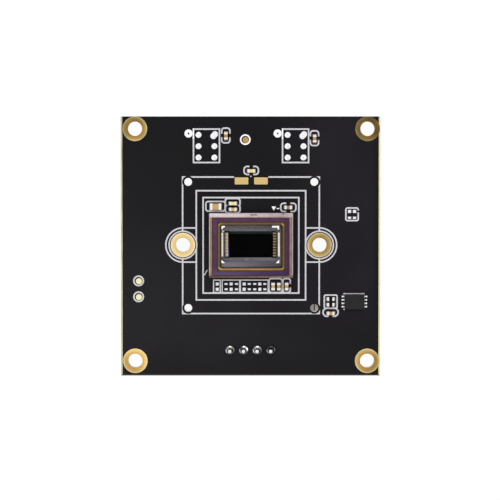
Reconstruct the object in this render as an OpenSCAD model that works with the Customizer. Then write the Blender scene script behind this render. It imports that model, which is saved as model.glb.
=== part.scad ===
// Image sensor board of a board camera.
// The front face of the board lies at z = 0, the optical axis along +Z, +Y towards the edge with the
// two microphone footprints. The origin is the centre of the four corner holes. Millimetres.

/* [Board] */
// Width of the board, left to right
board_w = 38; // [37:0.5:60]
// Height of the board, header edge to microphone edge
board_h = 38; // [37:0.5:60]
// Thickness of the laminate
board_t = 1.6; // [1:0.1:2.4]
// Width of the scored bevel along the snapped edges, in plan
score_w = 0.25; // [0.1:0.05:0.3]
// Depth of the scored bevel from each face
score_depth = 0.45; // [0.2:0.05:0.5]
// How far the snapped outline drifted sideways from the hole pattern
drift_x = -0.1; // [-0.2:0.05:0.2]
// How far the snapped outline drifted up or down from the hole pattern
drift_y = -0.2; // [-0.2:0.05:0.2]

/* [Mounting holes] */
// Distance from each corner hole to the nominal board edges
corner_inset = 2; // [2:0.1:4]
// Bore of the plated corner holes
corner_hole_d = 2.1; // [1.6:0.1:2.4]
// Ring round each corner hole
corner_ring_d = 3.6; // [3.2:0.1:3.6]
// Distance between the two lens holder screw holes
lens_pitch = 20; // [19.8:0.1:22]
// Bore of the lens holder screw holes
lens_hole_d = 2.1; // [1.6:0.1:2.4]
// Ring round each lens holder screw hole
lens_ring_d = 3.6; // [3.2:0.1:3.7]
// Distance between the bare locating holes, both ways
peg_pitch = 18.46; // [17.5:0.01:18.6]
// Bore of the bare locating holes
peg_hole_d = 1.15; // [0.8:0.05:1.2]
// Thickness of the plating inside the holes
plating_t = 0.05; // [0.03:0.01:0.1]
// Thickness of the copper rings and lands on the faces
copper_t = 0.04; // [0.02:0.01:0.08]

/* [Legend] */
// Thickness of the printed ink
ink_t = 0.02; // [0.01:0.01:0.03]
// Width of the printed lines
ink_w = 0.22; // [0.15:0.01:0.25]
// Side of the outer lens holder square
outer_square = 20; // [19.8:0.1:20.2]
// Side of the middle square
middle_square = 16; // [15.8:0.1:16.2]
// Side of the inner square
inner_square = 14; // [13.9:0.1:14.4]
// Radius of the printed ears round the screw holes
ear_r = 2.5; // [2.3:0.1:2.8]
// Opening of the printed line in front of the bare contacts
contact_gap = 5; // [4.7:0.1:6]
// Distance from the two left test points to the nominal left edge
test_inset = 2.54; // [2.4:0.02:3]
// Diameter of the test points
test_pad_d = 0.87; // [0.7:0.01:0.95]

/* [Image sensor] */
// Width of the ceramic package
sensor_w = 12.25; // [11.9:0.05:12.4]
// Height of the ceramic package in plan
sensor_h = 9.45; // [9.3:0.05:9.6]
// Thickness of the ceramic package
sensor_t = 1; // [0.8:0.05:1.4]
// Gap under the ceramic filled by the solder lands
sensor_gap = 0.06; // [0.04:0.01:0.1]
// Width of the cover glass
glass_w = 11.3; // [10.8:0.1:11.5]
// Height of the cover glass in plan
glass_h = 8.5; // [8.2:0.1:8.6]
// Thickness of the cover glass
glass_t = 0.4; // [0.3:0.05:0.6]
// Thickness of the seal under the cover glass
seal_t = 0.05; // [0.03:0.01:0.1]
// Width of the upper cavity
cavity_w = 9.14; // [9:0.02:9.3]
// Height of the upper cavity in plan
cavity_h = 6.38; // [6.3:0.02:6.6]
// Width of the gilded seal ring round the cavity
seal_ring_w = 0.28; // [0.2:0.02:0.4]
// Depth of the bond shelf below the rim
shelf_depth = 0.4; // [0.35:0.05:0.5]
// Mean width of the bond shelf at the two ends of the cavity
shelf_end = 0.69; // [0.67:0.01:0.75]
// Mean width of the shelf above and below the die
shelf_side = 0.74; // [0.7:0.01:0.78]
// Floor thickness under the die
pocket_floor = 0.3; // [0.2:0.05:0.35]
// Gap between the die and the walls of its pocket
die_clear = 0.12; // [0.08:0.01:0.15]
// Thickness of the die
die_t = 0.22; // [0.15:0.01:0.25]
// Strip of the die left free of pixels at each end
array_end = 0.62; // [0.55:0.01:0.8]
// Strip of the die left free of pixels above and below the array
array_side = 0.41; // [0.3:0.01:0.6]
// Bond wires on each side of the die
wire_count = 17; // [9:1:17]
// Distance between neighbouring bond wires
wire_pitch = 0.205; // [0.19:0.005:0.22]
// Thickness of a bond wire
wire_d = 0.03; // [0.025:0.005:0.05]
// Castellations down each short side of the package
notch_count = 15; // [8:1:16]
// Distance between neighbouring castellations
notch_pitch = 0.55; // [0.45:0.05:0.55]

/* [Chip parts] */
// Length of a small ceramic capacitor or resistor
chip_l = 1; // [0.95:0.01:1.05]
// Width of a small ceramic capacitor or resistor
chip_w = 0.52; // [0.45:0.01:0.55]
// Height of a small ceramic capacitor
chip_t = 0.5; // [0.45:0.01:0.55]
// Height of a chip resistor
resistor_t = 0.35; // [0.3:0.01:0.4]
// Length of a large ceramic capacitor
bulk_l = 1.6; // [1.5:0.05:1.7]
// Width of a large ceramic capacitor
bulk_w = 0.95; // [0.8:0.05:1]
// Height of a large ceramic capacitor
bulk_t = 0.8; // [0.7:0.05:0.9]
// Length of a small chip's end cap
cap_wrap = 0.26; // [0.2:0.01:0.28]
// Length of a large capacitor's end cap
bulk_wrap = 0.34; // [0.25:0.01:0.45]
// Thickness of a chip's end cap
cap_t = 0.02; // [0.01:0.005:0.03]
// Reach of the solder fillet beyond a small chip's end
fillet_reach = 0.15; // [0.1:0.01:0.25]
// Reach of the solder fillet beyond a large capacitor's end
bulk_reach = 0.12; // [0.1:0.01:0.4]

/* [Memory chip] */
// Size of the memory chip across its two terminal rows
memory_w = 2.92; // [2.8:0.02:3.1]
// Size of the memory chip along its terminal rows
memory_h = 2.15; // [2.05:0.05:2.4]
// Height of the memory chip
memory_t = 0.6; // [0.5:0.05:0.8]
// Distance from the memory chip's middle to the nominal right edge
memory_inset = 3.89; // [3.8:0.01:4]
// Distance between the memory chip's terminals
memory_pitch = 0.5; // [0.45:0.01:0.55]

/* [Header] */
// Pins of the header
pin_count = 4; // [2:1:6]
// Distance between the pins
pin_pitch = 2; // [1.9:0.05:2.1]
// Side of the square pins
pin_side = 0.5; // [0.4:0.02:0.5]
// How far the pins stand out of the front face
pin_proud = 1.1; // [0.9:0.1:1.3]
// Distance from the pin row to the nominal bottom edge
header_inset = 3.45; // [3.3:0.05:4]
// Height of the header housing
housing_t = 6; // [5:0.1:6.5]
// Depth of the header housing in plan
housing_d = 4.5; // [4.3:0.1:4.8]
// Housing beyond the end pins, each side
housing_end = 1.95; // [1.85:0.05:2.2]
// Wall of the header housing
housing_wall = 0.55; // [0.4:0.05:0.6]
// Floor of the header housing
housing_floor = 1.4; // [1:0.1:2]

/* [Rear parts] */
// Distance from the upper inductors and the capacitors beside them to the nominal top edge
rear_row_inset = 5.5; // [5.4:0.1:6]
// Side of the controller chip
controller_side = 9; // [8.8:0.1:9.2]
// Height of the controller chip
controller_t = 0.85; // [0.7:0.05:1]
// Terminals on each side of the controller chip
controller_rows = 16; // [8:1:16]
// Distance between the controller chip's terminals
controller_pitch = 0.5; // [0.4:0.01:0.5]
// Height of the power inductors
inductor_t = 3.2; // [2.5:0.1:4]
// Diameter of the inductors' drum core
inductor_d = 4.2; // [4:0.1:4.4]
// Height of the flash memory chip above the board
flash_t = 1.7; // [1.5:0.05:1.8]
// Height of the voltage regulators above the board
regulator_t = 1.15; // [1:0.05:1.3]
// Height of the crystal
crystal_t = 0.75; // [0.65:0.05:0.9]

/* [Hidden] */

round_fn = 48;
small_fn = 24;
past = 1;

// Finishes
mask_black = [0.13, 0.125, 0.135];
gilt = [0.84, 0.68, 0.36];
tin = [0.86, 0.86, 0.88];
ink_white = [0.84, 0.83, 0.86];
ceramic_pink = [0.66, 0.56, 0.58];
mould_black = [0.12, 0.12, 0.13];
nylon_white = [0.9, 0.88, 0.82];

// Places shared by several parts, on the front face
corner_pitch_x = board_w - 2 * corner_inset;
corner_pitch_y = board_h - 2 * corner_inset;
header_y = header_inset - board_h / 2;
header_x = -0.15;
microphone_y = board_h / 2 - 4.49;
microphones = [[-6.54, microphone_y], [6.48, microphone_y]];
memory_x = board_w / 2 - memory_inset;
memory_y = -8.29;
spare_square_x = board_w / 2 - 4.25;
spare_square_y = 4.5;
contact_y = outer_square / 2 - 0.62;

// Middles of the sensor's layers, which the maker offsets a little from the package
sensor_mid = [-0.03, -0.035];
glass_mid = [-0.08, -0.24];
cavity_mid = [0, -0.17];
die_mid = [-0.09, 0.1];
above_sensor = sensor_mid[1] + sensor_h / 2;
below_sensor = sensor_mid[1] - sensor_h / 2;
below_row_y = below_sensor - 1.24;

// Small ceramic capacitors: [x, y, turn]
front_capacitors = [
  [-3.7, microphone_y + 1.45, 90], [9.26, microphone_y + 1.05, 90], [0, outer_square / 2 + 0.85, 0],
  [-2.68, above_sensor + 1.4, 0], [-2.68, above_sensor + 0.52, 0], [5.4, above_sensor + 0.82, 0],
  [3.2, below_row_y - 0.06, 90], [4.04, below_row_y - 0.06, 90], [5.18, below_row_y - 0.06, 90],
  [memory_x - 3.46, memory_y - 1.72, 0]
];
bulk_capacitor = [-5.21, above_sensor + 0.93, 0];
front_resistors = [[memory_x - 3.47, memory_y + 0.38, 0], [memory_x - 3.47, memory_y - 0.45, 0]];

// Middles of the test points and the diameters of the rings printed round them
test_x = test_inset - board_w / 2;
test_points = [[test_x, -5.3, 1.6], [test_x, -7.64, 1.6], [-0.83, microphone_y + 0.85, 1.56]];

// Rear parts, in the same x and y as the front: [x, y, turn]
controller_at = [0, 1];
controller_toe = 0.3;

// Plan of the header housing, whose back wall faces the flash memory chip
housing_w = (pin_count - 1) * pin_pitch + 2 * housing_end;
housing_row_front = 1.7;
housing_back = header_y - housing_row_front + housing_d;

// The flash memory chip and a row of capacitors share the room between the controller and the
// housing with three equal gaps
flash_w = 3.9;
flash_reach = 1.05;
lead_toe = 0.15;
flash_span = flash_w + 2 * (flash_reach + lead_toe);
controller_foot = controller_at[1] - controller_side / 2 - controller_toe;
rear_gap = (controller_foot - housing_back - flash_span - chip_w) / 3;
flash_row_y = controller_foot - rear_gap - chip_w / 2;
flash_at = [-4, housing_back + rear_gap + flash_span / 2];

crystal_at = [-7.3, 7];
rear_row_y = board_h / 2 - rear_row_inset;
inductor_at = [[-9.6, rear_row_y, 0], [9.6, rear_row_y, 0], [10.45, -9.35, 0]];
regulator_at = [[-14.2, 8, 90], [14.2, 8, -90], [14.6, -4.6, -90]];
rear_capacitors = [
  [-5.9, 3.6, 90], [-5.9, 1.9, 90], [-5.9, -1.6, 90], [5.9, 4.4, 90], [5.9, 2.6, 90], [5.9, -0.6, 90],
  [-2.9, 6.9, 0], [-0.9, 6.9, 0], [1.1, 6.9, 0], [3.1, 6.9, 0],
  [-2.4, flash_row_y, 0], [0.2, flash_row_y, 0], [2.8, flash_row_y, 0],
  [-6.2, 9.7, 0], [-8.4, 4.3, 0]
];
rear_bulk_capacitors = [
  [-5.6, rear_row_y, 90], [-4, rear_row_y, 90], [5.6, rear_row_y, 90], [4, rear_row_y, 90],
  [14.2, 11.4, 0], [-14.2, 11.4, 0], [14.6, -1.3, 0], [7, -12.4, 90]
];
rear_resistors = [
  [-14.2, 4.6, 0], [-14.2, 3.5, 0], [14.2, 4.8, 0], [14.2, 3.7, 0], [1.6, -7.2, 0], [1.6, -8.3, 0],
  [1.6, -9.4, 0], [4.6, -7.2, 0], [4.6, -8.3, 0], [6.9, 6.6, 0], [6.9, 7.7, 0], [-12.6, -6, 90],
  [-11.4, -6, 90]
];

// Heights above the front face
ceramic_top = sensor_gap + sensor_t;
glass_z = ceramic_top + seal_t;
shelf_z = ceramic_top - shelf_depth;
pocket_z = sensor_gap + pocket_floor;
bond_line = 0.02;
die_z = pocket_z + bond_line;
die_top = die_z + die_t;
finger_t = 0.012;
wire_foot_z = shelf_z + finger_t;

// Plans of the pocket, the die and the pixel array
pocket_w = cavity_w - 2 * shelf_end;
pocket_h = cavity_h - 2 * shelf_side;
die_w = pocket_w - 2 * die_clear;
die_h = pocket_h - 2 * die_clear;
array_w = die_w - 2 * array_end;
array_h = die_h - 2 * array_side;

// Bond pads on the die and bond fingers on the shelf
finger_w = 0.165;
finger_l = 0.32;
bond_pad_w = 0.13;
bond_pad_l = 0.4;
finger_x = pocket_w / 2 + 0.06 + finger_l / 2;
bond_pad_x = die_w / 2 - 0.07 - bond_pad_l / 2;

// ---------------------------------------------------------------- plain helpers

// Places children on the rear face, mirrored through the board, so that their z = 0 is that face
module on_rear() {
  translate([0, 0, -board_t]) mirror([0, 0, 1]) children();
}

// Places children at each [x, y, turn] of a list
module at_each(places) {
  for (p = places) translate([p[0], p[1], 0]) rotate(p[2]) children();
}

module at_corners(pitch_x, pitch_y) {
  for (x = [-1, 1], y = [-1, 1]) translate([x * pitch_x / 2, y * pitch_y / 2, 0]) children();
}

module both_ends() {
  children();
  mirror([1, 0, 0]) children();
}

// A block with its middle at the origin in plan, standing on z = 0
module slab(l, w, h) {
  translate([-l / 2, -w / 2, 0]) cube([l, w, h]);
}

// Section of a plate whose upper edges are broken at 45 degrees
module bevelled_top(w, h, edge) {
  polygon([
    [-w / 2, 0], [w / 2, 0], [w / 2, h - edge], [w / 2 - edge, h], [edge - w / 2, h], [-w / 2, h - edge]
  ]);
}

// A slab whose upper edges are broken at 45 degrees
module bevelled_block(l, w, h, edge) {
  intersection() {
    rotate([90, 0, 0]) linear_extrude(w, center = true) bevelled_top(l, h, edge);
    rotate([90, 0, 90]) linear_extrude(l, center = true) bevelled_top(w, h, edge);
  }
}

// ---------------------------------------------------------------- board

// Cross-section of the laminate with scored bevels on the sides named
module scored_section(span, left, right) {
  deep = min(score_depth, board_t / 3);
  l = left ? score_w : 0;
  r = right ? score_w : 0;
  polygon([
    [-span / 2 + l, board_t / 2], [span / 2 - r, board_t / 2], [span / 2, board_t / 2 - deep],
    [span / 2, deep - board_t / 2], [span / 2 - r, -board_t / 2], [l - span / 2, -board_t / 2],
    [-span / 2, deep - board_t / 2], [-span / 2, board_t / 2 - deep]
  ]);
}

// The drilled diameter, which leaves room for the plating
function drill(hole_d) = hole_d + 2 * plating_t;

module through_hole(d) {
  translate([0, 0, -board_t - past]) cylinder(d = d, h = board_t + 2 * past, $fn = round_fn);
}

module circuit_board() {
  color(mask_black)
  difference() {
    translate([drift_x, drift_y, -board_t / 2])
    intersection() {
      rotate([90, 0, 0]) linear_extrude(board_h, center = true) scored_section(board_w, true, true);
      rotate([90, 0, 90]) linear_extrude(board_w, center = true) scored_section(board_h, true, false);
    }
    at_corners(corner_pitch_x, corner_pitch_y) through_hole(drill(corner_hole_d));
    at_corners(peg_pitch, peg_pitch) through_hole(peg_hole_d);
    both_ends() translate([lens_pitch / 2, 0, 0]) through_hole(drill(lens_hole_d));
    at_pin_bores() through_hole(drill(pin_bore_d));
  }
}

// A plated hole: the barrel through the board and a ring on each face
module eyelet(hole_d, ring_d) {
  difference() {
    union() {
      cylinder(d = ring_d, h = copper_t, $fn = round_fn);
      translate([0, 0, -board_t]) cylinder(d = drill(hole_d), h = board_t, $fn = round_fn);
      translate([0, 0, -board_t - copper_t]) cylinder(d = ring_d, h = copper_t, $fn = round_fn);
    }
    through_hole(hole_d);
  }
}

module corner_eyelets() {
  color(gilt) at_corners(corner_pitch_x, corner_pitch_y) eyelet(corner_hole_d, corner_ring_d);
}

module lens_eyelets() {
  color(gilt) both_ends() translate([lens_pitch / 2, 0, 0]) eyelet(lens_hole_d, lens_ring_d);
}

// ---------------------------------------------------------------- legend

module round_square(w, h, r) {
  if (r <= 0) square([w, h], center = true);
  else {
    square([w - 2 * r, h], center = true);
    square([w, h - 2 * r], center = true);
    for (x = [-1, 1], y = [-1, 1])
      translate([x * (w / 2 - r), y * (h / 2 - r)]) circle(r, $fn = small_fn);
  }
}

// A printed outline; w and h are measured to the middle of the line
module outline(w, h, r = 0, line_w = ink_w) {
  difference() {
    round_square(w + line_w, h + line_w, r > 0 ? r + line_w / 2 : 0);
    round_square(w - line_w, h - line_w, r > 0 ? r - line_w / 2 : 0);
  }
}

// Two brackets that hold a part between them, open in the middle of the long sides
module brackets(w, h, r, gap) {
  difference() {
    outline(w, h, r);
    square([gap, h + 1], center = true);
  }
}

module ring_mark(outer_d, inner_d) {
  difference() {
    circle(d = outer_d, $fn = small_fn);
    circle(d = inner_d, $fn = small_fn);
  }
}

peg_ink_d = 1.74;
ear_inner_d = lens_ring_d + 0.26;
frame_ink_w = 0.17;
microphone_w = 3.8;
microphone_h = 4.88;

// How far the print drifted from the drilling, and the test rings from their pads
squares_drift = [-0.04, -0.05];
ring_drift = [-0.04, 0.05];

// Printed squares of the lens holder, with an ear round each screw hole
module lens_holder_print() {
  difference() {
    translate(squares_drift) {
      outline(outer_square, outer_square);
      outline(middle_square, middle_square);
      outline(inner_square, inner_square);
    }
    at_corners(peg_pitch, peg_pitch) circle(d = peg_ink_d, $fn = small_fn);
    translate([0, outer_square / 2]) square([contact_gap, 1], center = true);
    both_ends() translate([lens_pitch / 2, 0]) circle(d = ear_inner_d, $fn = round_fn);
  }
  both_ends() {
    translate([lens_pitch / 2, 0]) ring_mark(ear_inner_d + 2 * 0.2, ear_inner_d);
    difference() {
      union() {
        translate([lens_pitch / 2, 0]) circle(ear_r + ink_w / 2, $fn = round_fn);
        translate([middle_square / 2, -ear_r - ink_w / 2])
          square([(lens_pitch - middle_square) / 2, 2 * ear_r + ink_w]);
      }
      translate([lens_pitch / 2, 0]) circle(ear_r - ink_w / 2, $fn = round_fn);
      translate([middle_square / 2 - 1, ink_w / 2 - ear_r])
        square([(lens_pitch - middle_square) / 2 + 1, 2 * ear_r - ink_w]);
    }
  }
}

module microphone_print() {
  for (p = microphones) translate(p) {
    outline(microphone_w, microphone_h);
    translate([-2.62, 1.8]) ring_mark(1.18, 0.28);
  }
}

module chip_print() {
  for (i = [0, 1]) translate([front_capacitors[i][0] - 0.02, front_capacitors[i][1] + 0.06])
    rotate(90) brackets(2.15, 1.2, 0.4, 0.5);
  translate([front_capacitors[2][0], front_capacitors[2][1] + 0.06]) brackets(2.1, 1.17, 0.45, 0.55);
  translate([front_capacitors[5][0] + 0.03, front_capacitors[5][1]]) brackets(2.2, 1.2, 0.4, 0.6);
  // Two stacked capacitors share one outline with a waist
  pair_at = [
    front_capacitors[3][0] - 0.04, (front_capacitors[3][1] + front_capacitors[4][1]) / 2 + 0.12
  ];
  difference() {
    for (s = [-1, 1]) translate(pair_at + [0, s * 0.47]) round_square(2.38, 1.38, 0.5);
    for (s = [-1, 1]) translate(pair_at + [0, s * 0.47])
      round_square(2.38 - 2 * ink_w, 1.38 - 2 * ink_w, 0.3);
  }
  difference() {
    translate([bulk_capacitor[0] - 0.02, bulk_capacitor[1] + 0.05]) outline(2.8, 1.4, 0.35);
    translate(pair_at) square([2.1, 2], center = true);
  }
  // Capacitors below the sensor: a pair, and one with an open side
  pair_x = (front_capacitors[6][0] + front_capacitors[7][0]) / 2;
  translate([pair_x - 0.05, below_row_y + 0.05]) outline(1.92, 2.05, 0.35);
  difference() {
    translate([front_capacitors[8][0], below_row_y + 0.05]) outline(1.08, 2.05, 0.35);
    translate([front_capacitors[8][0] + 0.54, below_row_y + 0.03]) square([0.5, 0.5], center = true);
  }
}

// Frames of the spare footprints below the sensor, in thinner lines: [middle, width]
spare_frames = [[-5.03, 0.98], [-2.98, 2.55], [0.44, 4.06]];
module spare_print() {
  for (f = spare_frames) translate([f[0], below_row_y - 0.05]) outline(f[1], 1.83, 0, frame_ink_w);
  difference() {
    translate([spare_square_x, spare_square_y]) outline(1.81, 1.85, 0.25);
    translate([spare_square_x + 0.9, spare_square_y + 0.42]) square([0.6, 0.3], center = true);
  }
}

// A line over the memory chip and its pin-one dot; a box round the resistors that shares its
// lower line with an oval round the capacitor
module memory_print() {
  box = [1.87, 1.93];
  oval_h = 1.18;
  box_at = [memory_x - 3.465, memory_y - 0.015];
  translate([memory_x - 0.08, memory_y + 1.16]) square([3.15, 0.16], center = true);
  translate([memory_x - 1.49, memory_y - 1.13]) circle(d = 0.22, $fn = small_fn);
  translate(box_at) outline(box[0], box[1], 0.2);
  difference() {
    translate(box_at - [0.015, (box[1] + oval_h) / 2]) outline(2.19, oval_h, 0.55);
    translate(box_at - [0.015, box[1] / 2 + oval_h]) square([0.6, 0.4], center = true);
  }
}

// Pin-one mark of the sensor, a solid triangle and a dash, in place of a label
module sensor_print() {
  translate([3.3, 5.34]) polygon([[-0.33, 0.3], [0.33, 0.3], [0, -0.3]]);
  translate([3.92, 5.34]) square([0.36, 0.16], center = true);
}

// Inspector's pen stroke: a plain tick
module inspection_stroke() {
  translate([-6.82, -4.4]) {
    rotate(-52) translate([-0.2, 0]) square([0.4, 0.14], center = true);
    rotate(64) translate([0.4, 0]) square([0.86, 0.14], center = true);
  }
}

module front_legend() {
  color(ink_white)
  linear_extrude(ink_t) {
    lens_holder_print();
    microphone_print();
    chip_print();
    spare_print();
    memory_print();
    sensor_print();
    inspection_stroke();
    translate([-0.04, outer_square / 2 + 0.05]) circle(d = 0.22, $fn = small_fn);
    for (p = test_points) translate([p[0], p[1]] + ring_drift) ring_mark(p[2], p[2] - 2 * ink_w);
  }
}

// Rear legend: plain frames round the larger parts and pin-one dots
module rear_legend() {
  color(ink_white)
  on_rear() linear_extrude(ink_t) {
    translate(controller_at) difference() {
      outline(controller_side + 1.2, controller_side + 1.2);
      square([controller_side - 1, controller_side + 4], center = true);
      square([controller_side + 4, controller_side - 1], center = true);
    }
    translate(controller_at - [controller_side / 2 + 1.1, controller_side / 2 + 0.6])
      circle(d = 0.45, $fn = small_fn);
    for (p = inductor_at) translate([p[0], p[1]])
      brackets(inductor_d + 1, inductor_d + 1, 0.5, inductor_d - 1);
    translate([header_x, header_y - housing_row_front + housing_d / 2])
      outline(housing_w + 0.6, housing_d + 0.6);
    translate([flash_at[0] - 3.1, flash_at[1] - 2.9]) circle(d = 0.45, $fn = small_fn);
    translate(crystal_at) difference() {
      brackets(crystal_l + 0.76, crystal_w + 0.76, 0.4, 1.4);
      translate([-peg_pitch / 2, peg_pitch / 2] - crystal_at) circle(d = peg_ink_d, $fn = small_fn);
    }
  }
}

// ---------------------------------------------------------------- bare and tinned pads

contact_w = 1.98;
contact_h = 1.02;
contact_x = 1.42;

module contact_pads() {
  color(gilt) linear_extrude(copper_t)
    for (x = [-1, 1]) translate([x * contact_x, contact_y]) round_square(contact_w, contact_h, 0.1);
}

module test_pads() {
  color(gilt)
  for (p = test_points)
    translate([p[0], p[1], 0]) cylinder(d = test_pad_d, h = copper_t, $fn = small_fn);
}

// A low crown of solder on a round land
module solder_dome(d, h) {
  ball_r = (d * d / 4 + h * h) / (2 * h);
  cylinder(d = d, h = copper_t, $fn = small_fn);
  translate([0, 0, copper_t]) intersection() {
    translate([0, 0, h - ball_r]) sphere(ball_r, $fn = round_fn);
    cylinder(d = d, h = h + past, $fn = small_fn);
  }
}

// A thin coat of solder on a rectangular land, thinner towards its edges
module solder_pillow(l, w) {
  bevelled_block(l, w, copper_t + 0.07, 0.06);
}

microphone_pad_d = 0.96;
microphone_row = 1.65;
microphone_column = 1.16;
dome_h = 0.12;

// Two rows of three pads; the one at the upper right is drawn out on a slant
module microphone_pads() {
  color(tin)
  for (p = microphones) translate([p[0], p[1] - 0.06, 0]) {
    for (x = [-1, 1], row = [-1, 0, 1]) if (!(x == 1 && row == 1))
      translate([x * microphone_column, row * microphone_row, 0]) solder_dome(microphone_pad_d, dome_h);
    translate([microphone_column - 0.03, microphone_row - 0.03, 0]) rotate(50) slanted_pad();
  }
}

module slanted_pad() {
  reach = 0.19;
  for (s = [-1, 1]) translate([s * reach, 0, 0]) cylinder(d = 0.88, h = copper_t + 0.05, $fn = small_fn);
  translate([-reach, -0.44, 0]) cube([2 * reach, 0.88, copper_t + 0.05]);
  translate([0, 0, copper_t + 0.05]) intersection() {
    translate([0, 0, 0.06 - 1.35]) sphere(1.35, $fn = round_fn);
    for (s = [-1, 1]) translate([s * reach, 0, 0]) cylinder(d = 0.76, h = past, $fn = small_fn);
  }
}

spare_pad = 0.45;
spare_dash = 0.28;
spare_rows = [below_row_y + 0.3, below_row_y - 0.48];

// Empty footprints: [x, true where both pads are full squares]
spare_columns = [
  [-4.98, true], [-3.68, false], [-2.93, true], [-2.15, false], [-1.03, true], [-0.28, false],
  [0.51, false], [1.26, true], [2, false]
];
module spare_pads() {
  color(tin) {
    for (c = spare_columns, y = spare_rows)
      translate([c[0], y, 0]) solder_pillow(spare_pad, c[1] ? spare_pad : spare_dash);
    for (x = [-1, 1], y = [-1, 1])
      translate([spare_square_x + x * 0.37, spare_square_y - 0.05 + y * 0.47, 0])
        solder_pillow(0.48, y > 0 ? 0.46 : 0.34);
  }
}

// ---------------------------------------------------------------- image sensor

// One castellation column: places for the notches and their lands down a short side
module at_notches() {
  for (side = [-1, 1], i = [0 : notch_count - 1])
    translate([sensor_mid[0], sensor_mid[1] + (i - (notch_count - 1) / 2) * notch_pitch, 0])
      rotate(side > 0 ? 0 : 180) translate([sensor_w / 2, 0, 0]) children();
}

notch_r = 0.11;
land_l = 0.8;
land_w = 0.3;
cavity_r = 0.22;

// The cavity above the shelf with its rounded corners, grown outwards by rim
module cavity(h, rim = 0) {
  translate([cavity_mid[0], cavity_mid[1], 0])
    linear_extrude(h) round_square(cavity_w + 2 * rim, cavity_h + 2 * rim, cavity_r + rim);
}

module sensor_package() {
  color(ceramic_pink)
  difference() {
    translate([sensor_mid[0], sensor_mid[1], sensor_gap])
      linear_extrude(sensor_t) round_square(sensor_w, sensor_h, 0.12);
    translate([0, 0, shelf_z]) cavity(past);
    translate([die_mid[0], die_mid[1], pocket_z]) slab(pocket_w, pocket_h, past);
    at_notches() cylinder(r = notch_r, h = ceramic_top - 0.2, $fn = small_fn);
  }
}

// Solder under the ceramic: a row down each short side and two rows along each long side
module sensor_lands() {
  long_count = 16;
  long_pitch = 0.6;
  color(tin) {
    at_notches() translate([-land_l / 2 - notch_r, 0, 0]) slab(land_l, land_w, sensor_gap);
    for (row = [0, 1], side = [-1, 1], i = [0 : long_count - 1])
      translate([
        sensor_mid[0] + (i - (long_count - 1) / 2) * long_pitch,
        sensor_mid[1] + side * (sensor_h / 2 - 0.5 - row * 1.1),
        0
      ]) slab(land_w, land_l, sensor_gap);
  }
}

// Resin between the ceramic rim and the glass, outside the gilded ring
module sensor_seal() {
  color([0.3, 0.23, 0.4])
  difference() {
    translate([glass_mid[0], glass_mid[1], ceramic_top]) slab(glass_w, glass_h, seal_t);
    translate([0, 0, ceramic_top - past]) cavity(2 * past, seal_ring_w);
  }
}

module seal_ring() {
  color([0.67, 0.56, 0.24])
  difference() {
    translate([0, 0, ceramic_top]) cavity(seal_t, seal_ring_w);
    translate([0, 0, ceramic_top - past]) cavity(2 * past);
  }
}

module cover_glass() {
  color([0.7, 0.75, 0.9, 0.3])
  translate([glass_mid[0], glass_mid[1], glass_z]) bevelled_block(glass_w, glass_h, glass_t, 0.06);
}

// Silver-filled resin under the die, squeezed up round its edges
module die_adhesive() {
  color([0.3, 0.27, 0.25])
  difference() {
    translate([die_mid[0], die_mid[1], pocket_z]) slab(pocket_w, pocket_h, bond_line + die_t * 0.8);
    translate([die_mid[0], die_mid[1], die_z]) slab(die_w, die_h, past);
  }
}

module sensor_die() {
  color([0.36, 0.35, 0.38])
  translate([die_mid[0], die_mid[1], die_z]) slab(die_w, die_h, die_t);
}

array_t = 0.015;
module pixel_array() {
  color([0.02, 0.02, 0.03])
  translate([die_mid[0] + 0.01, die_mid[1] + 0.02, die_top]) slab(array_w, array_h, array_t);
}

// Places of the wires down both sides of the die, with x pointing outwards
module at_wires() {
  for (side = [-1, 1], i = [0 : wire_count - 1])
    translate([die_mid[0], die_mid[1] + (i - (wire_count - 1) / 2) * wire_pitch, 0])
      rotate(side > 0 ? 0 : 180) children();
}

// Pads along the die's edges, each with the ball that starts its wire
module die_bond_pads() {
  pad_t = 0.01;
  color(gilt)
  at_wires() translate([bond_pad_x, 0, die_top]) {
    slab(bond_pad_l, bond_pad_w, pad_t);
    translate([ball_x, 0, 0]) cylinder(d = 0.1, h = wire_foot_z - die_top, $fn = small_fn);
  }
}
ball_x = 0.05;

module bond_fingers() {
  color([0.88, 0.85, 0.74])
  at_wires() translate([finger_x, 0, shelf_z]) slab(finger_l, finger_w, finger_t);
}

// Each wire is a half loop from the ball to the middle of its finger
module bond_wires() {
  start_x = bond_pad_x + ball_x;
  end_x = finger_x - 0.06;
  loop_r = (end_x - start_x) / 2;
  color(gilt)
  at_wires() translate([start_x + loop_r, 0, wire_foot_z])
    rotate([90, 0, 0]) rotate_extrude(angle = 180, $fn = round_fn)
      translate([loop_r, 0]) circle(d = wire_d, $fn = 16);
}

// Marks on the corners of the shelf that the die is lined up with
module shelf_marks() {
  left = die_mid[0] - pocket_w / 2 - 0.39;
  right = die_mid[0] + pocket_w / 2 + 0.29;
  high = die_mid[1] + pocket_h / 2 + 0.27;
  low = die_mid[1] - pocket_h / 2 - 0.26;
  color([0.92, 0.92, 0.93])
  translate([0, 0, shelf_z]) linear_extrude(finger_t) {
    translate([left, high])
      polygon([[0, 0], [0.5, 0], [0.5, -0.22], [0.24, -0.26], [0.2, -0.5], [0, -0.5]]);
    translate([left + 0.24, high - 0.78]) circle(d = 0.2, $fn = small_fn);
    translate([right, high])
      polygon([[0, 0], [-1.05, 0], [-1.05, -0.23], [-0.26, -0.24], [-0.22, -0.5], [0, -0.5]]);
    translate([left, low]) polygon([[0, 0], [0.5, 0], [0, 0.46]]);
    translate([right, low]) polygon([[0, 0], [-0.5, 0], [0, 0.46]]);
  }
}

// ---------------------------------------------------------------- chip parts

// Ceramic between the end caps, standing on its lands
module chip_body(l, w, t) {
  translate([0, 0, copper_t + cap_t]) slab(l - 2 * cap_t, w - 2 * cap_t, t - 2 * cap_t);
}

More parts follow.
